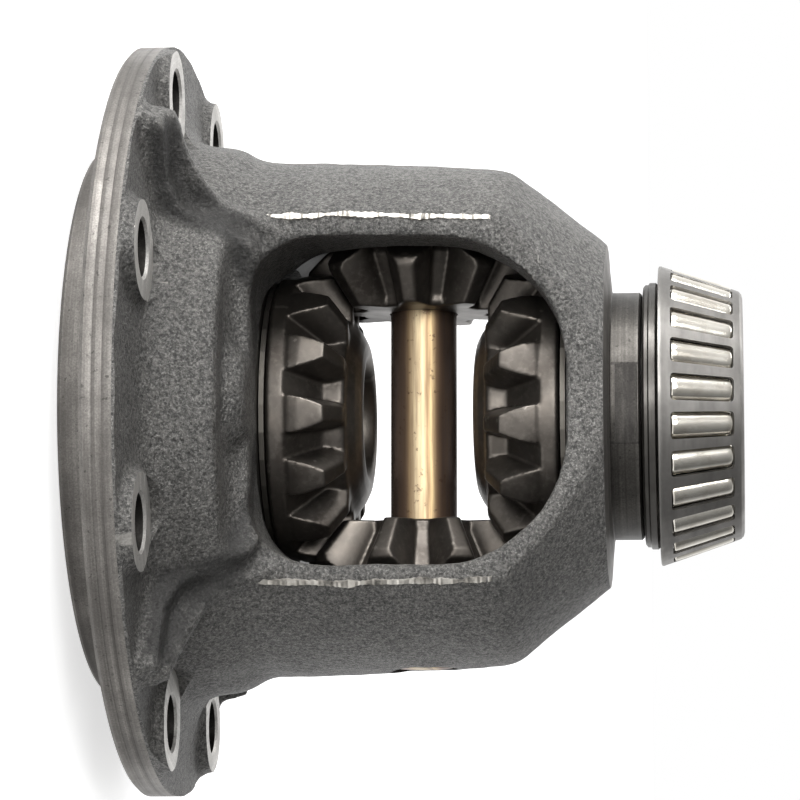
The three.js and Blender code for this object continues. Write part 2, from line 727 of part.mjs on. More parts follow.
const castIron = metal(0x5c5c5a, 0.62, 0.85);
const forgedSteel = () => metal(0x6b645c, 0.32, 1);
const washerSteel = () => metal(0x8a8478, 0.4, 1);

const toBearing = new THREE.Vector3(0, 0, 1);
const toFlange = new THREE.Vector3(0, 0, -1);
const toLower = new THREE.Vector3(1, 0, 0);
const toUpper = new THREE.Vector3(-1, 0, 0);

assembly.add(named("differential_case", differentialCase(), castIron));

const pinMesh = named("cross_pin", crossPin(), metal(0xa58a55, 0.35, 1));
pinMesh.rotation.y = Math.PI / 2;
pinMesh.position.z = PIN_HEIGHT;
assembly.add(pinMesh);

const lockMesh = named("cross_pin_lock_pin", lockPin(), metal(0x4a4a4c, 0.45, 1));
lockMesh.position.set(LOCK_PIN_X, 0, (LOCK_PIN_LOW_Z + LOCK_PIN_HIGH_Z) / 2);
assembly.add(lockMesh);

const sideGearSolid = sideGear();
const pinionSolid = pinion();
const gears = [
  ["side_gear_bearing_side", sideGearSolid, toBearing, -BEARING_SIDE_PHASE],
  ["side_gear_flange_side", sideGearSolid, toFlange, FLANGE_SIDE_PHASE],
  ["pinion_lower", pinionSolid, toLower, -LOWER_PINION_PHASE],
  ["pinion_upper", pinionSolid, toUpper, UPPER_PINION_PHASE],
];
for (const [name, body, axis, spin] of gears) {
  assembly.add(placeOnAxis(named(name, body, forgedSteel()), axis, spin));
}

const washers = [
  ["side_washer_bearing_side", flatWasher(), toBearing],
  ["side_washer_flange_side", flatWasher(), toFlange],
  ["pinion_washer_lower", cuppedWasher(), toLower],
  ["pinion_washer_upper", cuppedWasher(), toUpper],
];
for (const [name, body, axis] of washers) {
  assembly.add(placeOnAxis(named(name, body, washerSteel()), axis, 0));
}

assembly.add(named("bearing_inner_ring", bearingInnerRing(), metal(0x8c8a86, 0.25, 1)));
assembly.add(named("bearing_cage", bearingCage(), metal(0x77746f, 0.4, 1)));
for (let i = 0; i < ROLLER_COUNT; i += 1) {
  assembly.add(rollerMesh(i));
}

export default assembly;
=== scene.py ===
"""Differential gear assembly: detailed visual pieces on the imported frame."""

import math
import random

import bmesh
import bpy
import numpy as np
from mathutils import Matrix, Vector, noise


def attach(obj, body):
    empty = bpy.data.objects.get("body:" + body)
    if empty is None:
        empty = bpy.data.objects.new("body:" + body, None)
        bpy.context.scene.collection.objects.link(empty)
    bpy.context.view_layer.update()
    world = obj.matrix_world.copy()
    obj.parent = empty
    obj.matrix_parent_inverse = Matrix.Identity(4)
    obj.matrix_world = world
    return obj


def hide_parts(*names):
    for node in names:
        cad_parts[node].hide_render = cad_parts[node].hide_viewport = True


MM = 0.001
DEG = math.pi / 180

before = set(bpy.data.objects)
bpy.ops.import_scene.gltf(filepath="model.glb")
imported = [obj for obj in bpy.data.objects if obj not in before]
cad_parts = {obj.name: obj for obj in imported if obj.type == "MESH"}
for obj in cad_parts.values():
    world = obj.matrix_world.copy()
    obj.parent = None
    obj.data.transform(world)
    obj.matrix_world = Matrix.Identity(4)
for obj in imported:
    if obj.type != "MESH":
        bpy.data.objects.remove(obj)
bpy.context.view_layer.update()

# ---------------------------------------------------------------- dimensions (mm)

PIN_HEIGHT = 76.8

PILOT_RADIUS = 66.6
FLANGE_RADIUS = 91.05
SEAT_Z = 9.7
RIM_TURNED_Z = 17.1
SPOTFACE_Z = 20.8
BOLT_COUNT = 8
BOLT_CIRCLE = 80.0
BOLT_FIRST = 22.5
BOLT_HOLE = 6.5
BOSS_RADIUS = 10.9
SPOT_MARGIN = 1.7
BOLT_CHAMFER = 2.6

END_RADIUS = 40.4
END_Z = 121.7
JOURNAL_RADIUS = 29.8
JOURNAL_Z = 122.8
SHOULDER_Z = 129.9
SEAT_RADIUS = 22.3
TOP_Z = 153.8

# Barrel and cone as (radius, z), and the flat sides as (distance from the axis, z).
BARREL = [(62.0, 60), (60.2, 90), (59.9, 95.6), (59.0, 99.2), (57.4, 101.6), (39.0, 124.6)]
FLAT_SIDE = [(48.0, 38.4), (46.6, 41.2), (45.9, 45), (41.0, 122.2)]
GUSSET_X, GUSSET_Y = 42.3, 46.2
GUSSET_ALONG, GUSSET_ASIDE = 0.880, 0.475

WINDOW_X = (-37.6, 38.2)
WINDOW_Z = (PIN_HEIGHT - 36, PIN_HEIGHT + 36.4)
WINDOW_LOW_CORNER = 14.5
WINDOW_HIGH_CORNER = 30.0

PULLER_FLAT = 28.4
PULLER_Z = 125.6
PULLER_LOW, PULLER_HIGH = -1.6, 3.6

CAVITY_RADIUS = 47.8
POCKET_RADIUS = 36.6
SEAT_DISTANCE = 36.1
HUB_BORE = 20.0
HUB_BORE_END = 49.5
RECESS_OUTER = 58.2
RECESS_INNER = 42
AXLE_BORE = 16.2

PIN_RADIUS = 8.0
PIN_HALF = 60.6
PIN_GAP = 0.25
LOCK_X = 54.0
LOCK_RADIUS = 2.8

PINION_TEETH = 9
SIDE_TEETH = 14
PRESSURE = 25 * DEG
SIDE_PHASE = 16.8

GEAR_VOXEL = 0.42
SPLINE_TEETH = 24
SPLINE_ROOT, SPLINE_CREST = 15.6, 14.45

ROLLERS = 24
ROLLER_FIRST = 4.9
ROLLER_TILT = 16.9 * DEG
ROLLER_RADIUS = 29.85
ROLLER_Z = PIN_HEIGHT + 66.6
ROLLER_LENGTH = 15.0
ROLLER_BIG = 3.5
ROLLER_SMALL = 3.05

CASE_VOXEL = 1.0
SEAM_STEPS = 110
SEAM_DEPTH = -3.2

# ---------------------------------------------------------------- mesh helpers


def mesh_object(name, points_mm, faces):
    mesh = bpy.data.meshes.new(name)
    scaled = (np.asarray(points_mm, dtype=float) * MM).tolist()
    mesh.from_pydata(scaled, [], faces)
    mesh.update()
    obj = bpy.data.objects.new(name, mesh)
    bpy.context.collection.objects.link(obj)
    return obj


def drop(obj):
    """Removes an object that has served its purpose."""
    mesh = obj.data
    bpy.data.objects.remove(obj)
    if mesh.users == 0:
        bpy.data.meshes.remove(mesh)


def bake(obj):
    """Replaces the mesh by what its modifiers make of it."""
    depsgraph = bpy.context.evaluated_depsgraph_get()
    made = bpy.data.meshes.new_from_object(obj.evaluated_get(depsgraph))
    old = obj.data
    obj.modifiers.clear()
    obj.data = made
    bpy.data.meshes.remove(old)
    return obj


def combine(obj, other, operation):
    """Boolean of two closed meshes. The second one is used up."""
    before = len(obj.data.vertices)
    for solver in ("MANIFOLD", "EXACT"):
        modifier = obj.modifiers.new("cut", "BOOLEAN")
        modifier.operation = operation
        modifier.solver = solver
        modifier.object = other
        depsgraph = bpy.context.evaluated_depsgraph_get()
        count = len(obj.evaluated_get(depsgraph).data.vertices)
        if count not in (0, before):
            break
        obj.modifiers.clear()
    bake(obj)
    drop(other)
    return obj


def remesh(obj, size_mm, rounds=0, factor=0.5):
    """Even quads over the outside of the shape, with its edges rounded."""
    modifier = obj.modifiers.new("remesh", "REMESH")
    modifier.mode = "VOXEL"
    modifier.voxel_size = size_mm * MM
    if rounds:
        soften = obj.modifiers.new("soften", "SMOOTH")
        soften.factor = factor
        soften.iterations = rounds
    return bake(obj)


def join(name, objects):
    """One mesh holding all the shapes, overlapping or not."""
    points = []
    faces = []
    for obj in objects:
        base = len(points)
        world = obj.matrix_world
        points.extend((world @ v.co) / MM for v in obj.data.vertices)
        faces.extend([base + i for i in p.vertices] for p in obj.data.polygons)
    joined = mesh_object(name, [tuple(p) for p in points], faces)
    for obj in objects:
        drop(obj)
    return joined


def place(obj, matrix_mm):
    """Moves the vertices, so that the object itself stays at the origin."""
    matrix = matrix_mm.copy()
    matrix.translation = matrix.translation * MM
    obj.data.transform(matrix)
    if matrix.determinant() < 0:
        obj.data.flip_normals()
    return obj


def lathe(name, profile, segments=128, closed=False):
    """Body of revolution about Z. An open profile starts and ends on the axis."""
    points = []
    rows = []
    for radius, z in profile:
        if radius < 1e-6:
            rows.append([len(points)])
            points.append((0, 0, z))
            continue
        row = []
        for i in range(segments):
            angle = 2 * math.pi * i / segments
            row.append(len(points))
            points.append((radius * math.cos(angle), radius * math.sin(angle), z))
        rows.append(row)
    faces = []
    pairs = list(zip(rows, rows[1:]))
    if closed:
        pairs.append((rows[-1], rows[0]))
    for low, high in pairs:
        for i in range(segments):
            j = (i + 1) % segments
            if len(low) == 1 and len(high) == 1:
                continue
            if len(low) == 1:
                faces.append((low[0], high[j], high[i]))
            elif len(high) == 1:
                faces.append((low[i], low[j], high[0]))
            else:
                faces.append((low[i], low[j], high[j], high[i]))
    return facing_out(mesh_object(name, points, faces))


def facing_out(obj):
    """Turns the faces of a closed mesh round if they look inwards."""
    mesh = obj.data
    mesh.calc_loop_triangles()
    co = np.array([v.co for v in mesh.vertices])
    tri = np.array([t.vertices for t in mesh.loop_triangles])
    a, b, c = co[tri[:, 0]], co[tri[:, 1]], co[tri[:, 2]]
    if np.einsum("ij,ij->i", a, np.cross(b, c)).sum() < 0:
        mesh.flip_normals()
    return obj


def prism(name, outline, low, high):
    """Outline of (x, y) pairs carried from z = low to z = high."""
    n = len(outline)
    points = [(x, y, low) for x, y in outline] + [(x, y, high) for x, y in outline]
    faces = [tuple(range(n))[::-1], tuple(range(n, 2 * n))]
    for i in range(n):
        j = (i + 1) % n
        faces.append((i, j, n + j, n + i))
    return facing_out(mesh_object(name, points, faces))


def arc(cx, cy, radius, start, end, steps):
    """Points on a circle from one angle to another, in degrees."""
    out = []
    for i in range(steps + 1):
        angle = (start + (end - start) * i / steps) * DEG
        out.append((cx + radius * math.cos(angle), cy + radius * math.sin(angle)))
    return out


def rod(name, radius, low, high, segments=64, x=0.0, y=0.0):
    obj = lathe(name, [(0, low), (radius, low), (radius, high), (0, high)], segments)
    return place(obj, Matrix.Translation((x, y, 0)))


def around(radius, azimuth_deg):
    """Azimuth is counted from -Y towards -X."""
    angle = azimuth_deg * DEG
    return -radius * math.sin(angle), -radius * math.cos(angle)


def smooth_shade(obj, angle_deg=32):
    """Smooth shading that keeps edges sharper than the angle."""
    mesh = obj.data
    mesh.shade_smooth()
    edge_faces = {}
    for poly in mesh.polygons:
        for key in poly.edge_keys:
            edge_faces.setdefault(key, []).append(poly.index)
    normals = [p.normal.copy() for p in mesh.polygons]
    limit = math.cos(angle_deg * DEG)
    sharp = mesh.attributes.get("sharp_edge") or mesh.attributes.new("sharp_edge", "BOOLEAN", "EDGE")
    for edge in mesh.edges:
        pair = edge_faces.get(edge.key, [])
        if len(pair) == 2 and normals[pair[0]].dot(normals[pair[1]]) < limit:
            sharp.data[edge.index].value = True
    return obj


X_TURN = Matrix.Rotation(90 * DEG, 4, "Y")  # local +Z to +X


# ---------------------------------------------------------------- materials


class Surface:
    """Short names for building one procedural material."""

    def __init__(self, name):
        self.material = bpy.data.materials.new(name)
        self.material.use_nodes = True
        self.tree = self.material.node_tree
        self.bsdf = self.tree.nodes["Principled BSDF"]
        self.coord = self.tree.nodes.new("ShaderNodeTexCoord").outputs["Object"]

    def link(self, source, target):
        self.tree.links.new(source, target)

    def feed(self, socket, value):
        if hasattr(value, "is_linked"):
            self.link(value, socket)
        else:
            socket.default_value = value

    def noise(self, scale, detail=4.0, rough=0.55, vector=None):
        node = self.tree.nodes.new("ShaderNodeTexNoise")
        node.inputs["Scale"].default_value = scale
        node.inputs["Detail"].default_value = detail
        node.inputs["Roughness"].default_value = rough
        self.link(vector or self.coord, node.inputs["Vector"])
        return node.outputs["Fac"]

    def cells(self, scale):
        node = self.tree.nodes.new("ShaderNodeTexVoronoi")
        node.inputs["Scale"].default_value = scale
        self.link(self.coord, node.inputs["Vector"])
        return node.outputs["Distance"]

    def ramp(self, factor, stops):
        node = self.tree.nodes.new("ShaderNodeValToRGB")
        points = node.color_ramp.elements
        while len(points) < len(stops):
            points.new(0.5)
        for point, (position, color) in zip(points, stops):
            if not isinstance(color, tuple):
                color = (color, color, color)
            point.position = position
            point.color = (*color, 1)
        self.link(factor, node.inputs["Fac"])
        return node.outputs["Color"]

    def math(self, operation, a, b=0.0, clamp=False):
        node = self.tree.nodes.new("ShaderNodeMath")
        node.operation = operation
        node.use_clamp = clamp
        self.feed(node.inputs[0], a)
        self.feed(node.inputs[1], b)
        return node.outputs[0]

    def mix(self, factor, a, b, blend="MIX"):
        node = self.tree.nodes.new("ShaderNodeMix")
        node.data_type = "RGBA"
        node.blend_type = blend
        self.feed(node.inputs[0], factor)
        for socket, value in ((node.inputs[6], a), (node.inputs[7], b)):
            if isinstance(value, tuple):
                value = (*value, 1)
            self.feed(socket, value)
        return node.outputs[2]

    def parts(self):
        node = self.tree.nodes.new("ShaderNodeSeparateXYZ")
        self.link(self.coord, node.inputs[0])
        return node.outputs

    def stretch(self, x, y, z, vector=None):
        node = self.tree.nodes.new("ShaderNodeMapping")
        node.inputs["Scale"].default_value = (x, y, z)
        self.link(vector or self.coord, node.inputs["Vector"])
        return node.outputs[0]

    def polar(self):
        """(azimuth x 0.01, radius, height) about the Z axis, to run marks round it."""
        x, y, z = self.parts()[0:3]
        turn = self.math("MULTIPLY", self.math("ARCTAN2", y, x), 0.01)
        square = self.math("ADD", self.math("MULTIPLY", x, x), self.math("MULTIPLY", y, y))
        radius = self.math("SQRT", square)
        node = self.tree.nodes.new("ShaderNodeCombineXYZ")
        self.link(turn, node.inputs[0])
        self.link(radius, node.inputs[1])
        self.link(z, node.inputs[2])
        return node.outputs[0]

    def edge(self):
        """1 on convex edges, 0.5 on flats, 0 in corners. Marks edge wear, and on the gears a painted
        edge highlight as well.
        """
        node = self.tree.nodes.new("ShaderNodeNewGeometry")
        return node.outputs["Pointiness"]

    def bump(self, height, strength, distance_mm, below=None):
        node = self.tree.nodes.new("ShaderNodeBump")
        node.inputs["Strength"].default_value = strength
        node.inputs["Distance"].default_value = distance_mm * MM
        self.link(height, node.inputs["Height"])
        if below is not None:
            self.link(below, node.inputs["Normal"])
        return node.outputs[0]

    def finish(self, color, roughness, metallic, normal=None):
        self.feed(self.bsdf.inputs["Base Color"], color)
        self.feed(self.bsdf.inputs["Roughness"], roughness)
        self.feed(self.bsdf.inputs["Metallic"], metallic)
        if normal is not None:
            self.link(normal, self.bsdf.inputs["Normal"])
        return self.material


def painted_gusset_shade(s):
    """Mask for painted shade: 1 on the faces of the four gussets that look at a window, 0 elsewhere."""
    x, y, z = s.parts()[0:3]
    past_x = s.math("SUBTRACT", s.math("ABSOLUTE", x), GUSSET_X * MM)
    past_y = s.math("SUBTRACT", s.math("ABSOLUTE", y), GUSSET_Y * MM)
    along = s.math(
        "ADD",
        s.math("MULTIPLY", past_x, GUSSET_ALONG),
        s.math("MULTIPLY", past_y, GUSSET_ASIDE),
    )
    beside = s.math(
        "SUBTRACT",
        s.math("MULTIPLY", past_y, GUSSET_ALONG),
        s.math("MULTIPLY", past_x, GUSSET_ASIDE),
    )
    ragged = s.math("MULTIPLY", s.math("SUBTRACT", s.noise(150, 4, 0.65), 0.5), 0.16)
    across = s.ramp(
        s.math("ADD", s.math("MULTIPLY", beside, 50), ragged),
        [(0.04, 0.0), (0.13, 1.0), (0.42, 1.0), (0.52, 0.0)],
    )
    length = s.ramp(s.math("ADD", s.math("MULTIPLY", along, 20), ragged), [(0.46, 1.0), (0.53, 0.0)])
    height = s.math("ADD", s.math("MULTIPLY", z, 20), s.math("MULTIPLY", ragged, 0.4))
    rise = s.ramp(height, [(0.37, 0.0), (0.42, 1.0), (0.78, 1.0), (0.92, 0.0)])
    return s.math("MULTIPLY", s.math("MULTIPLY", across, length), rise)


def cast_iron():
    """Sand-cast skin: grains, pits and slow patches, bright specks that are partly painted glints, and
    painted shade beside the gussets.
    """
    s = Surface("cast_iron")
    grain = s.noise(950, 5, 0.7)
    sand = s.noise(1700, 3, 0.8)
    pits = s.cells(900)
    patches = s.noise(28, 4, 0.55)
    broad = s.ramp(patches, [(0.3, (0.044, 0.043, 0.041)), (0.7, (0.074, 0.072, 0.068))])
    # Specks of sand grain tone; the brightest ones are painted glints.
    speck_and_painted_glint = s.ramp(sand, [(0.36, 0.30), (0.52, 0.9), (0.66, 3.0)])
    color = s.mix(1.0, broad, speck_and_painted_glint, "MULTIPLY")
    color = s.mix(s.ramp(grain, [(0.45, 0.0), (0.68, 0.55)]), color, (0.17, 0.163, 0.152))
    color = s.mix(s.ramp(grain, [(0.30, 0.6), (0.44, 0.0)]), color, (0.018, 0.017, 0.016))
    # Painted shade: darkens the gusset faces that look at a window.
    color = s.mix(s.math("MULTIPLY", painted_gusset_shade(s), 0.78), color, (0.012, 0.0115, 0.011))
    worn = s.ramp(s.edge(), [(0.54, 0.0), (0.62, 0.6)])
    color = s.mix(worn, color, (0.26, 0.25, 0.23))
    rough = s.ramp(grain, [(0.3, 0.60), (0.7, 0.40)])
    coarse = s.bump(grain, 1.0, 0.75)
    pitted = s.bump(pits, 0.5, 0.25, coarse)
    fine = s.bump(sand, 0.8, 0.22, pitted)
    return s.finish(color, rough, 0.45, fine)


def turned_iron(name, low, high, roughness, dark=0.0, line_scale=2600):
    """Machined face with fine turning lines that run round the axis."""
    s = Surface(name)
    polar = s.polar()
    lines = s.noise(1.0, 2, 0.5, s.stretch(30, line_scale, line_scale, polar))
    bands = s.noise(1.0, 3, 0.6, s.stretch(8, 560, 560, polar))
    stains = s.noise(75, 6, 0.65)
    grain = s.noise(2400, 3, 0.7)
    tone = s.mix(s.ramp(bands, [(0.36, 0.0), (0.62, 1.0)]), low, high)
    tone = s.mix(s.ramp(stains, [(0.40, 0.45 + dark), (0.62, dark)]), tone, tuple(0.5 * c for c in low))
    tone = s.mix(s.ramp(lines, [(0.3, 0.35), (0.6, 0.0)]), tone, tuple(0.5 * c for c in low))
    tone = s.mix(s.ramp(grain, [(0.40, 0.4), (0.60, 0.0)]), tone, tuple(0.4 * c for c in low))
    spots = s.ramp(s.noise(700, 2, 0.6), [(0.66, 0.0), (0.71, 0.6)])
    tone = s.mix(spots, tone, tuple(0.25 * c for c in low))
    rough = s.ramp(stains, [(0.3, roughness + 0.12), (0.7, roughness - 0.02)])
    bump = s.bump(bands, 0.25, 0.12, s.bump(lines, 0.35, 0.03))
    return s.finish(tone, rough, 0.9, bump)


def ground_iron():
    """Ground parting line: bright in patches, with a short grain."""
    s = Surface("ground_iron")
    marks = s.noise(1.0, 3, 0.6, s.stretch(1800, 1800, 260))
    blots = s.noise(260, 4, 0.6)
    color = s.ramp(
        blots,
        [(0.34, (0.10, 0.095, 0.085)), (0.46, (0.26, 0.245, 0.22)), (0.7, (0.50, 0.48, 0.44))],
    )
    rough = s.ramp(marks, [(0.3, 0.48), (0.7, 0.30)])
    return s.finish(color, rough, 0.8, s.bump(marks, 0.4, 0.05))


def forged_steel():
    """Dark bronze-grey gear steel with lighter edges, partly rubbed wear and partly a painted edge
    highlight.
    """
    s = Surface("forged_gear_steel")
    broad = s.noise(70, 4, 0.6)
    fine = s.noise(700, 4, 0.6)
    polish = s.noise(1.0, 3, 0.6, s.stretch(260, 260, 1400))
    color = s.ramp(
        broad,
        [(0.32, (0.044, 0.038, 0.033)), (0.5, (0.078, 0.070, 0.062)), (0.72, (0.118, 0.104, 0.090))],
    )
    color = s.mix(s.ramp(fine, [(0.5, 0.0), (0.72, 0.45)]), color, (0.13, 0.118, 0.104))
    # Lighter edges: partly rubbed wear, partly a painted edge highlight.
    worn = s.ramp(s.edge(), [(0.54, 0.0), (0.62, 0.35)])
    color = s.mix(worn, color, (0.30, 0.275, 0.245))
    rough = s.ramp(broad, [(0.3, 0.52), (0.7, 0.36)])
    bump = s.bump(fine, 0.25, 0.05)
    return s.finish(color, rough, 0.95, s.bump(polish, 0.2, 0.03, bump))


def straw_pin():
    """Hardened pin in straw and bronze tints, with painted highlight bands along it and painted shade
    in dark brown down both sides.
    """
    s = Surface("straw_pin_steel")
    z = s.parts()[2]
    sway = s.noise(1.0, 3, 0.6, s.stretch(34, 90, 90))
    grain = s.noise(1.0, 4, 0.6, s.stretch(60, 1500, 1500))
    flakes = s.noise(420, 5, 0.7)
    across = s.math("ADD", s.math("MULTIPLY", s.math("SUBTRACT", z, PIN_HEIGHT * MM), 62.5), 0.5)
    wavy = s.math("ADD", across, s.math("MULTIPLY", s.math("SUBTRACT", sway, 0.5), 0.10))
    # Painted light across the pin: the bright straw bands are painted highlights, the dark brown at
    # both sides is painted shade.
    color = s.ramp(
        wavy,
        [
            (0.10, (0.13, 0.095, 0.078)),
            (0.26, (0.20, 0.135, 0.095)),
            (0.32, (0.36, 0.25, 0.14)),
            (0.42, (0.50, 0.405, 0.26)),
            (0.55, (0.44, 0.345, 0.21)),
            (0.60, (0.17, 0.11, 0.06)),
            (0.66, (0.52, 0.39, 0.21)),
            (0.73, (0.24, 0.155, 0.09)),
            (0.80, (0.12, 0.082, 0.062)),
            (0.95, (0.11, 0.085, 0.075)),
        ],
    )
    color = s.mix(s.ramp(grain, [(0.35, 0.45), (0.6, 0.0)]), color, (0.16, 0.10, 0.06))
    color = s.mix(s.ramp(flakes, [(0.60, 0.0), (0.66, 0.7)]), color, (0.10, 0.06, 0.04))
    rough = s.ramp(grain, [(0.3, 0.50), (0.65, 0.38)])
    side = s.ramp(across, [(0.06, 1.0), (0.2, 0.0), (0.86, 0.0), (0.96, 0.6)])
    crust = s.bump(s.math("MULTIPLY", flakes, side), 0.9, 0.5)
    return s.finish(color, rough, 0.85, s.bump(grain, 0.3, 0.04, crust))


def satin_steel(name, dark, light, roughness, wear=0.5, scale=420):
    """Brushed steel with blotches, rub marks round the axis and worn edges."""
    s = Surface(name)
    polar = s.polar()
    rub = s.noise(1.0, 3, 0.55, s.stretch(260, scale, scale, polar))
    blots = s.noise(120, 4, 0.6)
    color = s.mix(s.ramp(blots, [(0.3, 0.0), (0.7, 1.0)]), dark, light)
    color = s.mix(s.ramp(rub, [(0.35, 0.35), (0.6, 0.0)]), color, tuple(0.5 * c for c in dark))
    worn = s.ramp(s.edge(), [(0.53, 0.0), (0.62, wear)])
    color = s.mix(worn, color, tuple(min(1.0, 1.6 * c) for c in light))
    rough = s.ramp(blots, [(0.3, roughness + 0.08), (0.7, roughness - 0.05)])
    return s.finish(color, rough, 0.95, s.bump(rub, 0.2, 0.03))


def roller_steel():
    """Bright rolled steel with faint marks along it."""
    s = Surface("roller_steel")
    marks = s.noise(1.0, 3, 0.6, s.stretch(900, 900, 90))
    blots = s.noise(160, 4, 0.6)
    color = s.ramp(
        blots,
        [(0.3, (0.60, 0.56, 0.49)), (0.52, (0.74, 0.71, 0.64)), (0.75, (0.80, 0.775, 0.71))],
    )
    color = s.mix(s.ramp(marks, [(0.32, 0.18), (0.5, 0.0)]), color, (0.34, 0.30, 0.25))
    rough = s.ramp(marks, [(0.3, 0.26), (0.7, 0.18)])
    return s.finish(color, rough, 1.0, s.bump(marks, 0.05, 0.01))


CAST = cast_iron()
TURNED = turned_iron("turned_iron", (0.135, 0.126, 0.117), (0.24, 0.227, 0.211), 0.46, 0.05)
JOURNAL = turned_iron("ground_journal", (0.045, 0.042, 0.038), (0.098, 0.092, 0.084), 0.38, 0.05, 1800)
SPOT = turned_iron("spotface_iron", (0.50, 0.485, 0.46), (0.72, 0.70, 0.67), 0.45, 0.0, 900)
BORED = turned_iron("bored_iron", (0.03, 0.028, 0.026), (0.062, 0.058, 0.053), 0.42, 0.15, 1500)
GROUND = ground_iron()
GEAR = forged_steel()
PIN = straw_pin()
RING = satin_steel("bearing_ring_steel", (0.045, 0.042, 0.039), (0.085, 0.081, 0.075), 0.40, 0.1)
CAGE = satin_steel("cage_steel", (0.16, 0.154, 0.146), (0.25, 0.241, 0.228), 0.42, 0.1)
WASHER = satin_steel("washer_steel", (0.06, 0.055, 0.048), (0.11, 0.102, 0.09), 0.45, 0.2)
SPRING = satin_steel("black_spring_steel", (0.05, 0.05, 0.052), (0.10, 0.10, 0.102), 0.45)
ROLLER = roller_steel()


def stand_for(obj, body, slot, *nodes):
    """Fixes a piece to its body, in place of the nodes it replaces. The slot is not used."""
    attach(obj, body)
    if nodes:
        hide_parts(*nodes)


# ---------------------------------------------------------------- camera

CAMERA_MM = Vector((88.01, -775.60, 148.30))
RIGHT = Vector((-0.00004, 0.09923, 0.99506))
UP = Vector((-0.993005, -0.117492, 0.011677))
FORWARD = Vector((-0.118070, 0.988103, -0.098545))
LENS = 145.32
SENSOR = 36


def add_camera():
    data = bpy.data.cameras.new("camera")
    data.sensor_width = SENSOR
    data.lens = LENS
    data.clip_start = 0.01
    data.clip_end = 50
    camera = bpy.data.objects.new("camera", data)
    bpy.context.collection.objects.link(camera)
    basis = Matrix((RIGHT, UP, -FORWARD)).transposed().to_4x4()
    basis.translation = CAMERA_MM * MM
    camera.matrix_world = basis
    bpy.context.scene.camera = camera


# ---------------------------------------------------------------- case


def case_blank():
    return lathe(
        "case",
        [
            (0, -1.5),
            (68.5, -1.5),
            (68.5, 8.2),
            (95.5, 8.2),
            (95.5, 17.6),
            (84, 18.0),
            (74, 19.2),
            (70.0, 20.6),
            (68.0, 23.0),
            (66.9, 26.5),
            (66.4, 31.4),
            (65.4, 34.4),
            (63.6, 37.0),
            (62.5, 40.5),
            *BARREL,
            (32, 124.6),
            (32, 156),
            (0, 156),
        ],
        192,
    )


def flat_cutter(side):
    outline = [(80, 35.8), (55, 35.8), (50.5, 36.6), *FLAT_SIDE, (80, FLAT_SIDE[-1][1])]
    obj = prism("flat", [(side * y, z) for y, z in outline], -80, 80)
    return place(obj, Matrix(((0, 0, 1, 0), (1, 0, 0, 0), (0, 1, 0, 0), (0, 0, 0, 1))))


def rib_layer(outline, side_x, side_y, near, far):
    """Upright plate that starts at the corner of the barrel and runs to the rim."""
    obj = prism("rib", outline, near, far)
    outward = Vector((side_x * GUSSET_ALONG, side_y * GUSSET_ASIDE, 0))
    towards_window = Vector((-side_x * GUSSET_ASIDE, side_y * GUSSET_ALONG, 0))
    basis = Matrix((outward, Vector((0, 0, 1)), towards_window)).transposed().to_4x4()
    basis.translation = Vector((side_x * GUSSET_X, side_y * GUSSET_Y, 0))
    return place(obj, basis)


def rib(side_x, side_y):
    """Gusset: a tall ridge along the seam of the mould and a lower one beside it."""
    foot = [(-12, 12), (27.9, 12), (27.7, 18)]
    tall = foot + [(25.9, 25.4), (20.6, 26.4), (17, 27.5), (12.2, 29.4), (7.3, 32), (4.1, 34.4)]
    tall += [(1.8, 38.4), (1.0, 41.5), (-2, 46), (-12, 50)]
    low = foot + [(25.8, 23.4), (18, 23.4), (11, 23.8), (4.9, 26.2), (-0.6, 35), (-3.9, 42), (-12, 46)]
    return [
        rib_layer(tall, side_x, side_y, -1.2, 2.5),
        rib_layer(low, side_x, side_y, 2.3, 7.8),
    ]


def side_pad(side):
    obj = lathe("pad", [(0, -1)] + arc(0, 0, 1, -80, 80, 12) + [(0, 1)], 32)
    obj.data.transform(Matrix.Scale(1 / MM, 4))
    obj.data.transform(Matrix.Diagonal((14.5 * MM, 11 * MM, 9 * MM, 1)))
    return place(obj, Matrix.Translation((0, side * 46.6, 33.4)))


def window_cutter():
    x_low, x_high = WINDOW_X
    z_low, z_high = WINDOW_Z
    low, high = WINDOW_LOW_CORNER, WINDOW_HIGH_CORNER
    outline = arc(x_low + low, z_low + low, low, 180, 270, 10)
    outline += arc(x_high - low, z_low + low, low, 270, 360, 10)
    outline += arc(x_high - high, z_high - high, high, 0, 90, 10)
    outline += arc(x_low + high, z_high - high, high, 90, 180, 10)
    obj = prism("window", outline, -100, 100)
    return place(obj, Matrix.Rotation(90 * DEG, 4, "X"))


def cavity_cutter(shrink):
    sphere = CAVITY_RADIUS - shrink
    pocket = POCKET_RADIUS - shrink
    seat = SEAT_DISTANCE - shrink
    rim = math.acos(pocket / sphere) / DEG
    profile = [(0, PIN_HEIGHT - seat), (pocket, PIN_HEIGHT - seat)]
    profile += arc(0, PIN_HEIGHT, sphere, -rim, rim, 24)
    profile += [(pocket, PIN_HEIGHT + seat), (0, PIN_HEIGHT + seat)]
    return lathe("cavity", profile, 144)


def recess_cutter():
    return lathe(
        "recess",
        [
            (0, -4),
            (RECESS_OUTER, -4),
            (57.5, 5),
            (56.5, 15),
            (54.5, 17),
            (45, 17),
            (RECESS_INNER + 1, 15),
            (RECESS_INNER, 2),
            (0, 2),
        ],
        144,
    )


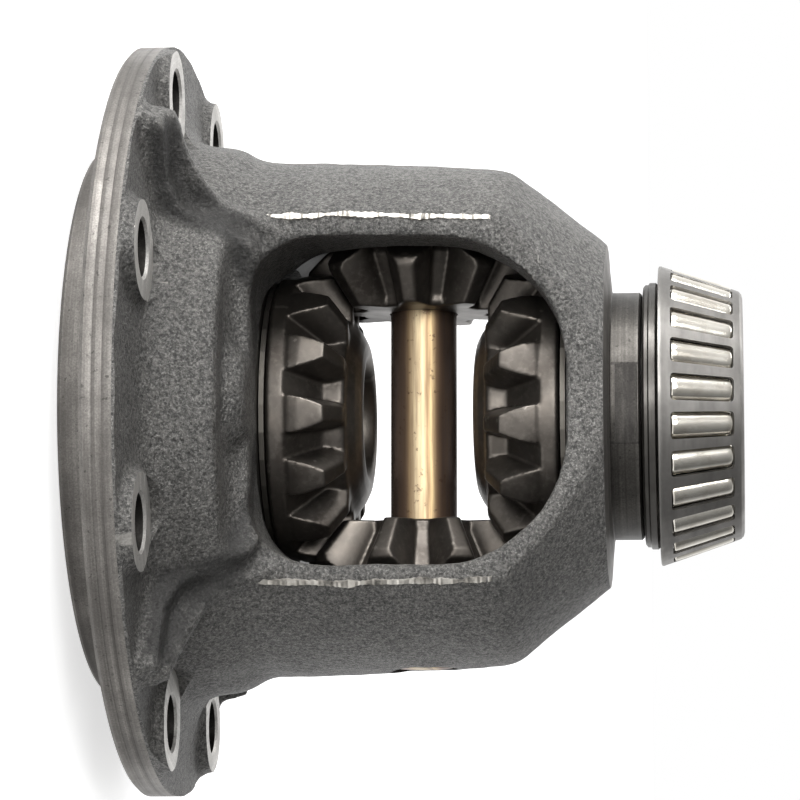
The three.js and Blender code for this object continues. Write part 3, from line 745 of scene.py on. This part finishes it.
def machined_envelope():
    """Everything inside this surface is kept: its faces are the turned ones."""
    return lathe(
        "envelope",
        [
            (0, 0),
            (PILOT_RADIUS - 0.8, 0),
            (PILOT_RADIUS, 0.8),
            (PILOT_RADIUS, 5.2),
            (PILOT_RADIUS - 0.35, 5.4),
            (PILOT_RADIUS - 0.35, 5.7),
            (PILOT_RADIUS, 5.9),
            (PILOT_RADIUS, SEAT_Z),
            (FLANGE_RADIUS - 0.9, SEAT_Z),
            (FLANGE_RADIUS, SEAT_Z + 0.9),
            (FLANGE_RADIUS, 12.5),
            (FLANGE_RADIUS - 0.04, 12.6),
            (FLANGE_RADIUS, 12.7),
            (FLANGE_RADIUS, 14.8),
            (FLANGE_RADIUS - 0.04, 14.9),
            (FLANGE_RADIUS, 15.0),
            (FLANGE_RADIUS - 0.02, RIM_TURNED_Z),
            (FLANGE_RADIUS, END_Z),
            (END_RADIUS + 1, END_Z),
            (END_RADIUS - 0.6, END_Z + 0.05),
            (JOURNAL_RADIUS + 1.0, JOURNAL_Z - 0.15),
            (JOURNAL_RADIUS + 0.2, JOURNAL_Z),
            (JOURNAL_RADIUS, JOURNAL_Z + 0.25),
            (JOURNAL_RADIUS, SHOULDER_Z - 0.5),
            (JOURNAL_RADIUS - 0.5, SHOULDER_Z),
            (SEAT_RADIUS, SHOULDER_Z),
            (SEAT_RADIUS, TOP_Z - 1.2),
            (SEAT_RADIUS - 1, TOP_Z),
            (0, TOP_Z),
        ],
        288,
    )


def bolt_centres():
    for i in range(BOLT_COUNT):
        yield around(BOLT_CIRCLE, BOLT_FIRST + i * 360 / BOLT_COUNT)


def roughen(obj, amount_mm, scale):
    """Slow waviness of the mould, in and out by the same amount."""
    vertices = obj.data.vertices
    count = len(vertices)
    places = np.empty(count * 3)
    normals = np.empty(count * 3)
    vertices.foreach_get("co", places)
    obj.data.vertex_normals.foreach_get("vector", normals)
    places = places.reshape(-1, 3)
    swing = np.empty(count)
    for i, (x, y, z) in enumerate((places * scale).tolist()):
        swing[i] = noise.noise((x, y, z)) + 0.5 * noise.noise((2.7 * x, 2.7 * y, 2.7 * z))
    places += normals.reshape(-1, 3) * swing[:, None] * amount_mm * MM
    vertices.foreach_set("co", places.ravel())
    obj.data.update()


def build_case():
    body = case_blank()
    for side in (-1, 1):
        body = combine(body, flat_cutter(side), "DIFFERENCE")
    parts = [body, side_pad(-1), side_pad(1)]
    for x in (-1, 1):
        parts += rib(x, -1) + rib(x, 1)
    for x, y in bolt_centres():
        parts.append(rod("boss", BOSS_RADIUS + 0.4, SEAT_Z, SPOTFACE_Z + 1.2, 48, x, y))
    bosses = rod("pin_boss", 10.5, -60.6, 60.6, 48)
    place(bosses, Matrix.Translation((0, 0, PIN_HEIGHT)) @ X_TURN)
    parts.append(bosses)
    body = join("differential_case_body", parts)
    remesh(body, CASE_VOXEL)
    for cutter in (cavity_cutter(1.0), window_cutter(), recess_cutter()):
        body = combine(body, cutter, "DIFFERENCE")
    remesh(body, CASE_VOXEL, 5)
    roughen(body, 0.32, 95)
    body = combine(body, machined_envelope(), "INTERSECT")
    body = combine(body, cavity_cutter(0.0), "DIFFERENCE")
    tools = []
    for x, y in bolt_centres():
        tools.append(rod("spot", BOSS_RADIUS + SPOT_MARGIN, SPOTFACE_Z, SPOTFACE_Z + 30, 64, x, y))
    body = combine(body, join("spots", tools), "DIFFERENCE")
    tools = []
    for x, y in bolt_centres():
        profile = [(0, 5), (BOLT_HOLE + 3.5, 5), (BOLT_HOLE, SEAT_Z + 0.8)]
        profile += [(BOLT_HOLE, SPOTFACE_Z - 0.6), (BOLT_HOLE + BOLT_CHAMFER, SPOTFACE_Z + 2)]
        profile += [(0, SPOTFACE_Z + 2)]
        hole = lathe("hole", profile, 48)
        tools.append(place(hole, Matrix.Translation((x, y, 0))))
    body = combine(body, join("holes", tools), "DIFFERENCE")
    axle = lathe(
        "axle",
        [
            (0, -2),
            (AXLE_BORE + 1, -2),
            (AXLE_BORE + 1, 3),
            (AXLE_BORE, 4),
            (AXLE_BORE, PIN_HEIGHT - HUB_BORE_END),
            (HUB_BORE, PIN_HEIGHT - HUB_BORE_END),
            (HUB_BORE, PIN_HEIGHT + HUB_BORE_END),
            (AXLE_BORE, PIN_HEIGHT + HUB_BORE_END),
            (AXLE_BORE, TOP_Z - 1),
            (AXLE_BORE + 2, TOP_Z + 1),
            (0, TOP_Z + 1),
        ],
        128,
    )
    body = combine(body, axle, "DIFFERENCE")
    bore = rod("bore", PIN_RADIUS + PIN_GAP, -75, 75, 64)
    place(bore, Matrix.Translation((0, 0, PIN_HEIGHT)) @ X_TURN)
    body = combine(body, bore, "DIFFERENCE")
    body = combine(body, rod("lock", LOCK_RADIUS, 0, 87.5, 32, LOCK_X), "DIFFERENCE")
    for side in (-1, 1):
        outline = [(-20, PULLER_LOW), (20, PULLER_LOW), (20, PULLER_HIGH), (-20, PULLER_HIGH)]
        flat = prism("puller", outline, 0, 10)
        inset = side * PULLER_FLAT
        turn = Matrix(((1, 0, 0, 0), (0, 0, side, inset), (0, 1, 0, PULLER_Z), (0, 0, 0, 1)))
        body = combine(body, place(flat, turn), "DIFFERENCE")
    paint_case(body)
    body.data.name = "differential_case_body"
    return body


def paint_case(body):
    """Gives each face its look by where it lies: as cast, or machined in one of four ways."""
    mesh = body.data
    mesh.materials.clear()
    looks = (CAST, TURNED, JOURNAL, BORED, SPOT)
    for material in looks:
        mesh.materials.append(material)
    turned, journal, bored, spot = range(1, len(looks))
    count = len(mesh.polygons)
    centre = np.empty(count * 3)
    normal = np.empty(count * 3)
    mesh.polygons.foreach_get("center", centre)
    mesh.polygons.foreach_get("normal", normal)
    x, y, z = (centre.reshape(-1, 3) / MM).T
    steep = np.abs(normal.reshape(-1, 3)[:, 2])
    radius = np.hypot(x, y)
    from_pin = np.sqrt(x**2 + y**2 + (z - PIN_HEIGHT) ** 2)
    index = np.zeros(count, dtype=np.int32)
    index[(z < SEAT_Z + 0.05) & (radius > RECESS_OUTER + 0.3)] = turned
    index[(z < 1.9) & (radius < RECESS_INNER + 1)] = turned
    index[(radius > FLANGE_RADIUS - 0.95) & (z < RIM_TURNED_Z)] = turned
    index[(z > END_Z - 0.02)] = journal
    index[(z > END_Z - 0.02) & (z < JOURNAL_Z + 0.1)] = turned
    index[np.abs(from_pin - CAVITY_RADIUS) < 0.08] = bored
    index[(np.abs(np.abs(z - PIN_HEIGHT) - SEAT_DISTANCE) < 0.05) & (radius < 37)] = bored
    index[(radius < HUB_BORE + 0.1) & (steep < 0.9)] = bored
    near_bolt = np.full(count, 1e9)
    for bx, by in bolt_centres():
        near_bolt = np.minimum(near_bolt, np.hypot(x - bx, y - by))
    spot_reach = BOSS_RADIUS + SPOT_MARGIN + 0.05
    index[(near_bolt < spot_reach) & (np.abs(z - SPOTFACE_Z) < 0.03)] = spot
    index[(near_bolt < BOLT_HOLE + 0.05) & (steep < 0.3)] = bored
    index[(near_bolt < BOLT_HOLE + 0.9) & (steep > 0.3) & (steep < 0.95)] = spot
    index[(np.abs(np.abs(y) - PULLER_FLAT) < 0.05) & (z > JOURNAL_Z + 0.5)] = bored
    shoulder = (z > 123.5) & (z < 129.4)
    index[(radius < JOURNAL_RADIUS - 0.02) & (radius > 28.5) & shoulder] = bored
    from_bore = np.hypot(y, z - PIN_HEIGHT)
    index[(from_bore < PIN_RADIUS + 0.3) & (np.abs(x) > 40)] = bored
    mesh.polygons.foreach_set("material_index", index)
    smooth_shade(body, 38)


def barrel_radius(z):
    marks = [(62.6, 37)] + BARREL
    return float(np.interp(z, [m[1] for m in marks], [m[0] for m in marks]))


def flat_distance(z):
    return float(np.interp(z, [m[1] for m in FLAT_SIDE], [m[0] for m in FLAT_SIDE]))


def seam_section(z, side_x, side_y, step, half_width, top, rng):
    """Four corners of the seam's section at one height."""
    depth = flat_distance(z)
    width = math.sqrt(max(barrel_radius(z) ** 2 - depth**2, 0.0))
    corner = Vector((side_x * width, side_y * depth, z))
    round_normal = Vector((corner.x, corner.y, 0)).normalized()
    outward = (Vector((0, side_y, 0)) + round_normal).normalized()
    across = Vector((0, 0, 1)).cross(outward).normalized()
    taper = min(1.0, step / 6, (SEAM_STEPS - 1 - step) / 6)
    wobble = noise.noise(Vector((side_x * 9.0, side_y * 5.0, z * 0.23)))
    half = half_width * (1.0 + 0.8 * wobble + 0.2 * rng.uniform(-1, 1))
    half = max(half * (0.2 + 0.8 * taper), 0.15)
    shift = 0.5 * noise.noise(Vector((side_x * 3.0, z * 0.12, 4.0)))
    top += 0.12 * rng.uniform(-1, 1) - 0.8 * (1 - taper)
    foot = half + 0.7
    section = ((-foot, SEAM_DEPTH), (-half, top), (half, top), (foot, SEAM_DEPTH))
    return [tuple(corner + across * (u + shift) + outward * h) for u, h in section]


def build_seam(name, low, high, half_width, tops, material):
    """Mould seam that runs up the four corners of the barrel."""
    rng = random.Random(7)
    points = []
    faces = []
    heights = np.linspace(low, high, SEAM_STEPS)
    for side_x in (-1, 1):
        for side_y in (-1, 1):
            base = len(points)
            for step, z in enumerate(heights):
                top = float(np.interp(z, (low, 0.5 * (low + high), high), tops))
                points += seam_section(z, side_x, side_y, step, half_width, top, rng)
            last = base + 4 * (SEAM_STEPS - 1)
            for row in range(base, last, 4):
                for a in range(4):
                    b = (a + 1) % 4
                    faces.append((row + a, row + b, row + 4 + b, row + 4 + a))
            faces.append((base + 3, base + 2, base + 1, base))
            faces.append((last, last + 1, last + 2, last + 3))
    seam = mesh_object(name, points, faces)
    grid = bmesh.new()
    grid.from_mesh(seam.data)
    bmesh.ops.recalc_face_normals(grid, faces=grid.faces)
    grid.to_mesh(seam.data)
    grid.free()
    seam.data.materials.append(material)
    return seam


# ---------------------------------------------------------------- gears


def involute(theta, base):
    """Azimuth of a spherical involute at one cone angle, counted from its start."""
    angle = max(theta, base + 1e-9)
    roll = math.acos(min(1.0, math.cos(angle) / math.cos(base))) / math.sin(base)
    return roll - math.acos(min(1.0, math.tan(base) / math.tan(angle)))


def half_tooth(theta, teeth, mate, thickness):
    """Half of a tooth's azimuth at one cone angle."""
    pitch = math.atan2(teeth, mate)
    base = math.asin(math.sin(pitch) * math.cos(PRESSURE))
    return math.pi / (2 * teeth) * thickness + involute(pitch, base) - involute(theta, base)


def tooth(teeth, mate, thickness, root, tip, near, far):
    """One straight bevel tooth between two distances from the pitch apex."""
    steps = 8
    section = []
    for i in range(steps + 1):
        theta = root + (tip - root) * i / steps
        section.append((theta, half_tooth(theta, teeth, mate, thickness)))
    section.insert(0, (root - 4 * DEG, section[0][1]))
    section.append((tip + 4 * DEG, section[-1][1]))
    loop = section + [(t, -h) for t, h in reversed(section)]
    points = []
    for cone in (near, far):
        for theta, azimuth in loop:
            radius = cone * math.sin(theta)
            height = cone * math.cos(theta)
            points.append((radius * math.cos(azimuth), radius * math.sin(azimuth), height))
    n = len(loop)
    faces = []
    for i in range(n):
        j = (i + 1) % n
        faces.append((i, j, n + j, n + i))
    for i in range(len(section) - 1):
        m = n - 1 - i
        faces.append((i, m, m - 1, i + 1))
        faces.append((n + i, n + i + 1, n + m - 1, n + m))
    return facing_out(mesh_object("tooth", points, faces))


def copies(obj, count):
    """The object repeated round the Z axis. The first one is used up."""
    out = []
    for i in range(count):
        mesh = obj.data.copy()
        mesh.transform(Matrix.Rotation(2 * math.pi * i / count, 4, "Z"))
        other = bpy.data.objects.new("copy", mesh)
        bpy.context.collection.objects.link(other)
        out.append(other)
    drop(obj)
    return out


def on_axis(obj, axis, spin_deg):
    """Turns a gear made along +Z, apex at the origin, onto its axis in the case."""
    axis = Vector(axis)
    local_x = Vector((0, -1, 0))
    local_y = axis.cross(local_x)
    basis = Matrix((local_x, local_y, axis)).transposed().to_4x4()
    spin = Matrix.Rotation(spin_deg * DEG, 4, "Z")
    return place(obj, Matrix.Translation((0, 0, PIN_HEIGHT)) @ basis @ spin)


def spline_cutter():
    outline = []
    pitch = 360 / SPLINE_TEETH
    for i in range(SPLINE_TEETH):
        outline += arc(0, 0, SPLINE_CREST, i * pitch, (i + 0.38) * pitch, 2)
        outline += arc(0, 0, SPLINE_ROOT, (i + 0.56) * pitch, (i + 0.82) * pitch, 2)
    return prism("spline", outline, 19, 60)


def side_gear(name):
    root, tip = 48.6 * DEG, 59.7 * DEG
    core = lathe(
        "core",
        [
            (0, 13.1),
            (16.4, 13.1),
            (18.4, 13.5),
            (20.6, 14.6),
            (22.8, 16.2),
            (24.2, 16.8),
            (24.7, 17.6),
            (24.7, 24.7 / math.tan(root)),
            (34.3, 34.3 / math.tan(root)),
            (34.3, 33.7),
            (33.7, 34.25),
            (19.7, 34.25),
            (19.7, 47.6),
            (18.8, 48.5),
            (0, 48.5),
        ],
        168,
    )
    envelope = lathe(
        "trim",
        [
            (0, 16.4),
            (16.4 * math.tan(tip), 16.4),
            (35.15, 35.15 / math.tan(tip)),
            (35.15, 26.6),
            (34.7, 29.0),
            (34.0, 30.4),
            (0, 30.4),
        ],
        168,
    )
    one = combine(tooth(SIDE_TEETH, PINION_TEETH, 0.72, root, tip, 18, 56), envelope, "INTERSECT")
    gear = join(name, [core] + copies(one, SIDE_TEETH))
    remesh(gear, GEAR_VOXEL, 3)
    mouth_profile = [(0, 10), (15.6, 10), (15.6, 13.0), (14.2, 14.0), (14.2, 20), (0, 20)]
    mouth = lathe("mouth", mouth_profile, 96)
    gear = combine(gear, mouth, "DIFFERENCE")
    return combine(gear, spline_cutter(), "DIFFERENCE")


def pinion_gear(name):
    root, tip = 29.4 * DEG, 40.0 * DEG
    back_radius = 24.2
    back = arc(0, 0, 46.4, 90 - math.asin(back_radius / 46.4) / DEG, 90, 12)
    core = lathe(
        "core",
        [
            (0, 25.5),
            (15.0, 25.5),
            (15.9, 26.2),
            (15.9, 15.9 / math.tan(root)),
            (21.2, 21.2 / math.tan(root)),
        ]
        + back[2:-1]
        + [(0, 46.4)],
        144,
    )
    envelope = lathe(
        "trim",
        [
            (0, 25.5),
            (25.5 * math.tan(tip), 25.5),
            (28.15, 28.15 / math.tan(tip)),
            (28.15, 35.4),
        ]
        + back[:-1]
        + [(0, 46.4)],
        144,
    )
    one = combine(tooth(PINION_TEETH, SIDE_TEETH, 1.24, root, tip, 22, 52), envelope, "INTERSECT")
    gear = join(name, [core] + copies(one, PINION_TEETH))
    remesh(gear, GEAR_VOXEL, 3)
    return combine(gear, rod("bore", PIN_RADIUS + 0.3, 15, 55, 64), "DIFFERENCE")


def build_gears():
    pitch = 360 / SIDE_TEETH
    step = 360 / PINION_TEETH
    spins = {
        "bearing": -SIDE_PHASE,
        "flange": pitch / 2 - SIDE_PHASE,
        "lower": -step * (0.25 - SIDE_PHASE / pitch),
        "upper": step * (SIDE_PHASE / pitch - 0.75),
    }
    first = side_gear("bearing_side_gear_body")
    second = bpy.data.objects.new("flange_side_gear_body", first.data.copy())
    bpy.context.collection.objects.link(second)
    third = pinion_gear("lower_pinion_body")
    fourth = bpy.data.objects.new("upper_pinion_body", third.data.copy())
    bpy.context.collection.objects.link(fourth)
    jobs = [
        (first, (0, 0, 1), spins["bearing"], "bearing_side_gear", "side_gear_bearing_side"),
        (second, (0, 0, -1), spins["flange"], "flange_side_gear", "side_gear_flange_side"),
        (third, (1, 0, 0), spins["lower"], "lower_pinion", "pinion_lower"),
        (fourth, (-1, 0, 0), spins["upper"], "upper_pinion", "pinion_upper"),
    ]
    for obj, axis, spin, body, node in jobs:
        on_axis(obj, axis, spin)
        obj.data.materials.clear()
        obj.data.materials.append(GEAR)
        smooth_shade(obj, 60)
        stand_for(obj, body, "forged_gear_steel", node)


# ---------------------------------------------------------------- pin and bearing


def build_pin():
    pin = lathe(
        "cross_pin_body",
        [
            (0, -PIN_HALF),
            (5.6, -PIN_HALF),
            (6.8, -PIN_HALF + 0.25),
            (7.7, -PIN_HALF + 0.9),
            (PIN_RADIUS, -PIN_HALF + 1.8),
            (PIN_RADIUS, -28),
            (PIN_RADIUS, 0),
            (PIN_RADIUS, 28),
            (PIN_RADIUS, PIN_HALF - 1.8),
            (7.7, PIN_HALF - 0.9),
            (6.8, PIN_HALF - 0.25),
            (5.6, PIN_HALF),
            (0, PIN_HALF),
        ],
        96,
    )
    place(pin, Matrix.Translation((0, 0, PIN_HEIGHT)) @ X_TURN)
    pin = combine(pin, rod("lock", LOCK_RADIUS, 60, 95, 32, LOCK_X), "DIFFERENCE")
    pin.data.materials.clear()
    pin.data.materials.append(PIN)
    smooth_shade(pin, 30)
    stand_for(pin, "case", "straw_pin_steel", "cross_pin")


def raceway(z):
    """Radius of the inner ring's track, a little inside the rollers."""
    taper = math.atan((ROLLER_BIG - ROLLER_SMALL) / ROLLER_LENGTH)
    middle = ROLLER_RADIUS - ((ROLLER_BIG + ROLLER_SMALL) / 2 + 0.25) / math.cos(ROLLER_TILT)
    return middle - (z - ROLLER_Z) * math.tan(ROLLER_TILT - taper)


def build_ring():
    low, high = SHOULDER_Z + 0.4, 153.1
    ring = lathe(
        "bearing_inner_ring_body",
        [
            (22.7, low + 1.0),
            (23.0, low + 0.35),
            (23.8, low),
            (31.0, low),
            (31.6, low + 0.5),
            (31.6, low + 1.25),
            (31.9, low + 1.4),
            (32.1, low + 1.6),
            (32.1, low + 3.0),
            (31.7, low + 3.4),
            (raceway(134.4) - 0.4, 133.7),
            (raceway(134.4) - 0.3, 134.4),
            (raceway(135.0), 135.0),
            (raceway(high - 2.4), high - 2.4),
            (24.9, high - 1.8),
            (25.1, high - 1.2),
            (25.0, high - 0.5),
            (24.5, high),
            (23.4, high),
            (22.85, high - 0.25),
            (22.6, high - 0.9),
        ],
        160,
        closed=True,
    )
    ring.data.materials.append(RING)
    smooth_shade(ring, 24)
    stand_for(ring, "case", "bearing_ring_steel", "bearing_inner_ring")


def roller_frame(azimuth_deg, radius=ROLLER_RADIUS, z=ROLLER_Z):
    """Local +Z runs along the roller to its small end, local +X away from the axis."""
    angle = azimuth_deg * DEG
    radial = Vector((-math.sin(angle), -math.cos(angle), 0))
    along = (Vector((0, 0, 1)) * math.cos(ROLLER_TILT) - radial * math.sin(ROLLER_TILT)).normalized()
    outward = (radial * math.cos(ROLLER_TILT) + Vector((0, 0, 1)) * math.sin(ROLLER_TILT)).normalized()
    basis = Matrix((outward, along.cross(outward), along)).transposed().to_4x4()
    basis.translation = radial * radius + Vector((0, 0, z))
    return basis


def build_cage():
    low_z, high_z = PIN_HEIGHT + 57.2, PIN_HEIGHT + 76.2
    cage = lathe(
        "bearing_cage_body",
        [
            (35.75, low_z),
            (36.05, low_z + 0.15),
            (36.05, low_z + 0.6),
            (35.9, low_z + 1.0),
            (30.05, high_z - 0.8),
            (29.7, high_z + 0.1),
            (29.0, high_z + 0.7),
            (28.2, high_z + 0.9),
            (27.5, high_z + 0.9),
            (27.5, high_z + 0.1),
            (28.3, high_z - 0.1),
            (28.7, high_z - 0.9),
            (34.7, low_z + 1.5),
            (34.7, low_z + 1.0),
            (33.0, low_z + 0.9),
            (33.0, low_z),
        ],
        240,
        closed=True,
    )
    tools = []
    half_long = 7.7
    for i in range(ROLLERS):
        corner = 0.9
        wide, narrow = 3.2, 2.9
        outline = arc(half_long - corner, narrow - corner, corner, 0, 90, 5)
        outline += arc(-half_long + corner, wide - corner, corner, 90, 180, 5)
        outline += arc(-half_long + corner, -wide + corner, corner, 180, 270, 5)
        outline += arc(half_long - corner, -narrow + corner, corner, 270, 360, 5)
        pocket = prism("pocket", outline, -1, 9)
        turn = Matrix(((0, 0, 1, 0), (0, 1, 0, 0), (1, 0, 0, 0), (0, 0, 0, 1)))
        place(pocket, turn)
        tools.append(place(pocket, roller_frame(ROLLER_FIRST + i * 360 / ROLLERS)))
    cage = combine(cage, join("pockets", tools), "DIFFERENCE")
    cage.data.materials.clear()
    cage.data.materials.append(CAGE)
    smooth_shade(cage, 28)
    stand_for(cage, "roller_cage", "cage_steel", "bearing_cage")


def build_rollers():
    half = ROLLER_LENGTH / 2
    profile = [
        (0, -half),
        (2.3, -half),
        (3.0, -half + 0.05),
        (3.32, -half + 0.2),
        (ROLLER_BIG - 0.02, -half + 0.6),
        (ROLLER_BIG - 0.03, -half + 1.6),
        ((ROLLER_BIG + ROLLER_SMALL) / 2 + 0.02, 0),
        (ROLLER_SMALL, half - 1.4),
        (ROLLER_SMALL - 0.03, half - 0.6),
        (2.8, half - 0.2),
        (2.5, half - 0.03),
        (0, half),
    ]
    template = lathe("roller", profile, 48)
    for i in range(ROLLERS):
        number = f"{i + 1:02d}"
        roller = bpy.data.objects.new(f"bearing_roller_{number}_body", template.data.copy())
        bpy.context.collection.objects.link(roller)
        spin = Matrix.Rotation(i * 67 * DEG, 4, "Z")
        place(roller, roller_frame(ROLLER_FIRST + i * 360 / ROLLERS) @ spin)
        roller.data.materials.append(ROLLER)
        smooth_shade(roller, 40)
        stand_for(roller, f"roller_{number}", "roller_steel", f"bearing_roller_{number}")
    drop(template)


def dress_cad_nodes():
    looks = {
        "side_washer_bearing_side": WASHER,
        "side_washer_flange_side": WASHER,
        "pinion_washer_lower": WASHER,
        "pinion_washer_upper": WASHER,
        "cross_pin_lock_pin": SPRING,
    }
    for name, material in looks.items():
        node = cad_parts[name]
        for slot in node.material_slots:
            slot.material = material


# ---------------------------------------------------------------- stage and light


def build_stage():
    s = Surface("pale_floor")
    tone = s.ramp(s.noise(3, 3, 0.5), [(0.3, (0.80, 0.80, 0.80)), (0.7, (0.83, 0.83, 0.83))])
    s.bsdf.inputs["Emission Color"].default_value = (1, 1, 1, 1)
    s.bsdf.inputs["Emission Strength"].default_value = 0.62
    s.finish(tone, 0.9, 0.0)
    size = 6000
    corners = [(-size, -size, -0.3), (size, -size, -0.3), (size, size, -0.3), (-size, size, -0.3)]
    floor = mesh_object("floor", corners, [(0, 1, 2, 3)])
    floor.data.materials.append(s.material)


def area_light(name, where, target, size_x, size_y, power, color=(1, 1, 1)):
    data = bpy.data.lights.new(name, "AREA")
    data.shape = "RECTANGLE"
    data.size = size_x
    data.size_y = size_y
    data.energy = power
    data.color = color
    light = bpy.data.objects.new(name, data)
    bpy.context.collection.objects.link(light)
    light.location = where
    direction = Vector(target) - Vector(where)
    light.rotation_euler = direction.to_track_quat("-Z", "Y").to_euler()


def map_range(tree, source, given, wanted):
    node = tree.nodes.new("ShaderNodeMapRange")
    for name, value in zip(("From Min", "From Max", "To Min", "To Max"), given + wanted):
        node.inputs[name].default_value = value
    tree.links.new(source, node.inputs["Value"])
    return node.outputs[0]


def build_lights():
    """White sky for the camera. What lights the metal is brightest towards -X and behind."""
    scene = bpy.context.scene
    world = bpy.data.worlds.new("studio")
    world.use_nodes = True
    tree = world.node_tree
    background = tree.nodes["Background"]
    coord = tree.nodes.new("ShaderNodeTexCoord").outputs["Generated"]
    parts = tree.nodes.new("ShaderNodeSeparateXYZ")
    tree.links.new(coord, parts.inputs[0])
    side = map_range(tree, parts.outputs[0], (-1.0, 1.0), (0.85, 0.10))
    back = map_range(tree, parts.outputs[1], (0.0, 0.9), (0.0, 0.75))
    total = tree.nodes.new("ShaderNodeMath")
    total.operation = "ADD"
    tree.links.new(side, total.inputs[0])
    tree.links.new(back, total.inputs[1])
    path = tree.nodes.new("ShaderNodeLightPath")
    pick = tree.nodes.new("ShaderNodeMix")
    tree.links.new(path.outputs["Is Camera Ray"], pick.inputs[0])
    tree.links.new(total.outputs[0], pick.inputs[2])
    pick.inputs[3].default_value = 1.0
    background.inputs["Color"].default_value = (1, 1, 1, 1)
    tree.links.new(pick.outputs[0], background.inputs["Strength"])
    scene.world = world
    centre = (0, 0, 0.077)
    area_light("key", (-0.85, -0.45, 0.20), centre, 0.5, 0.5, 16)
    area_light("front", (-0.25, -1.1, 0.35), centre, 0.45, 0.6, 10)
    area_light("floor_wash", (-0.9, 0.9, 1.6), (0, 0.5, 0), 1.0, 1.0, 14)
    scene.view_settings.view_transform = "Standard"
    scene.view_settings.look = "None"


add_camera()
build_stage()
build_lights()
case = build_case()
stand_for(case, "case", "cast_iron_case", "differential_case")
seams = (
    ("case_parting_line", 38.5, 99.0, 0.6, (-0.1, 0.05, -0.35), GROUND),
    ("case_cone_seam", 98.5, 119.0, 0.9, (-0.5, -0.6, -1.1), CAST),
)
for seam in seams:
    stand_for(build_seam(*seam), "case", "cast_iron_case")
build_gears()
build_pin()
build_ring()
build_cage()
build_rollers()
dress_cad_nodes()

bpy.context.view_layer.update()
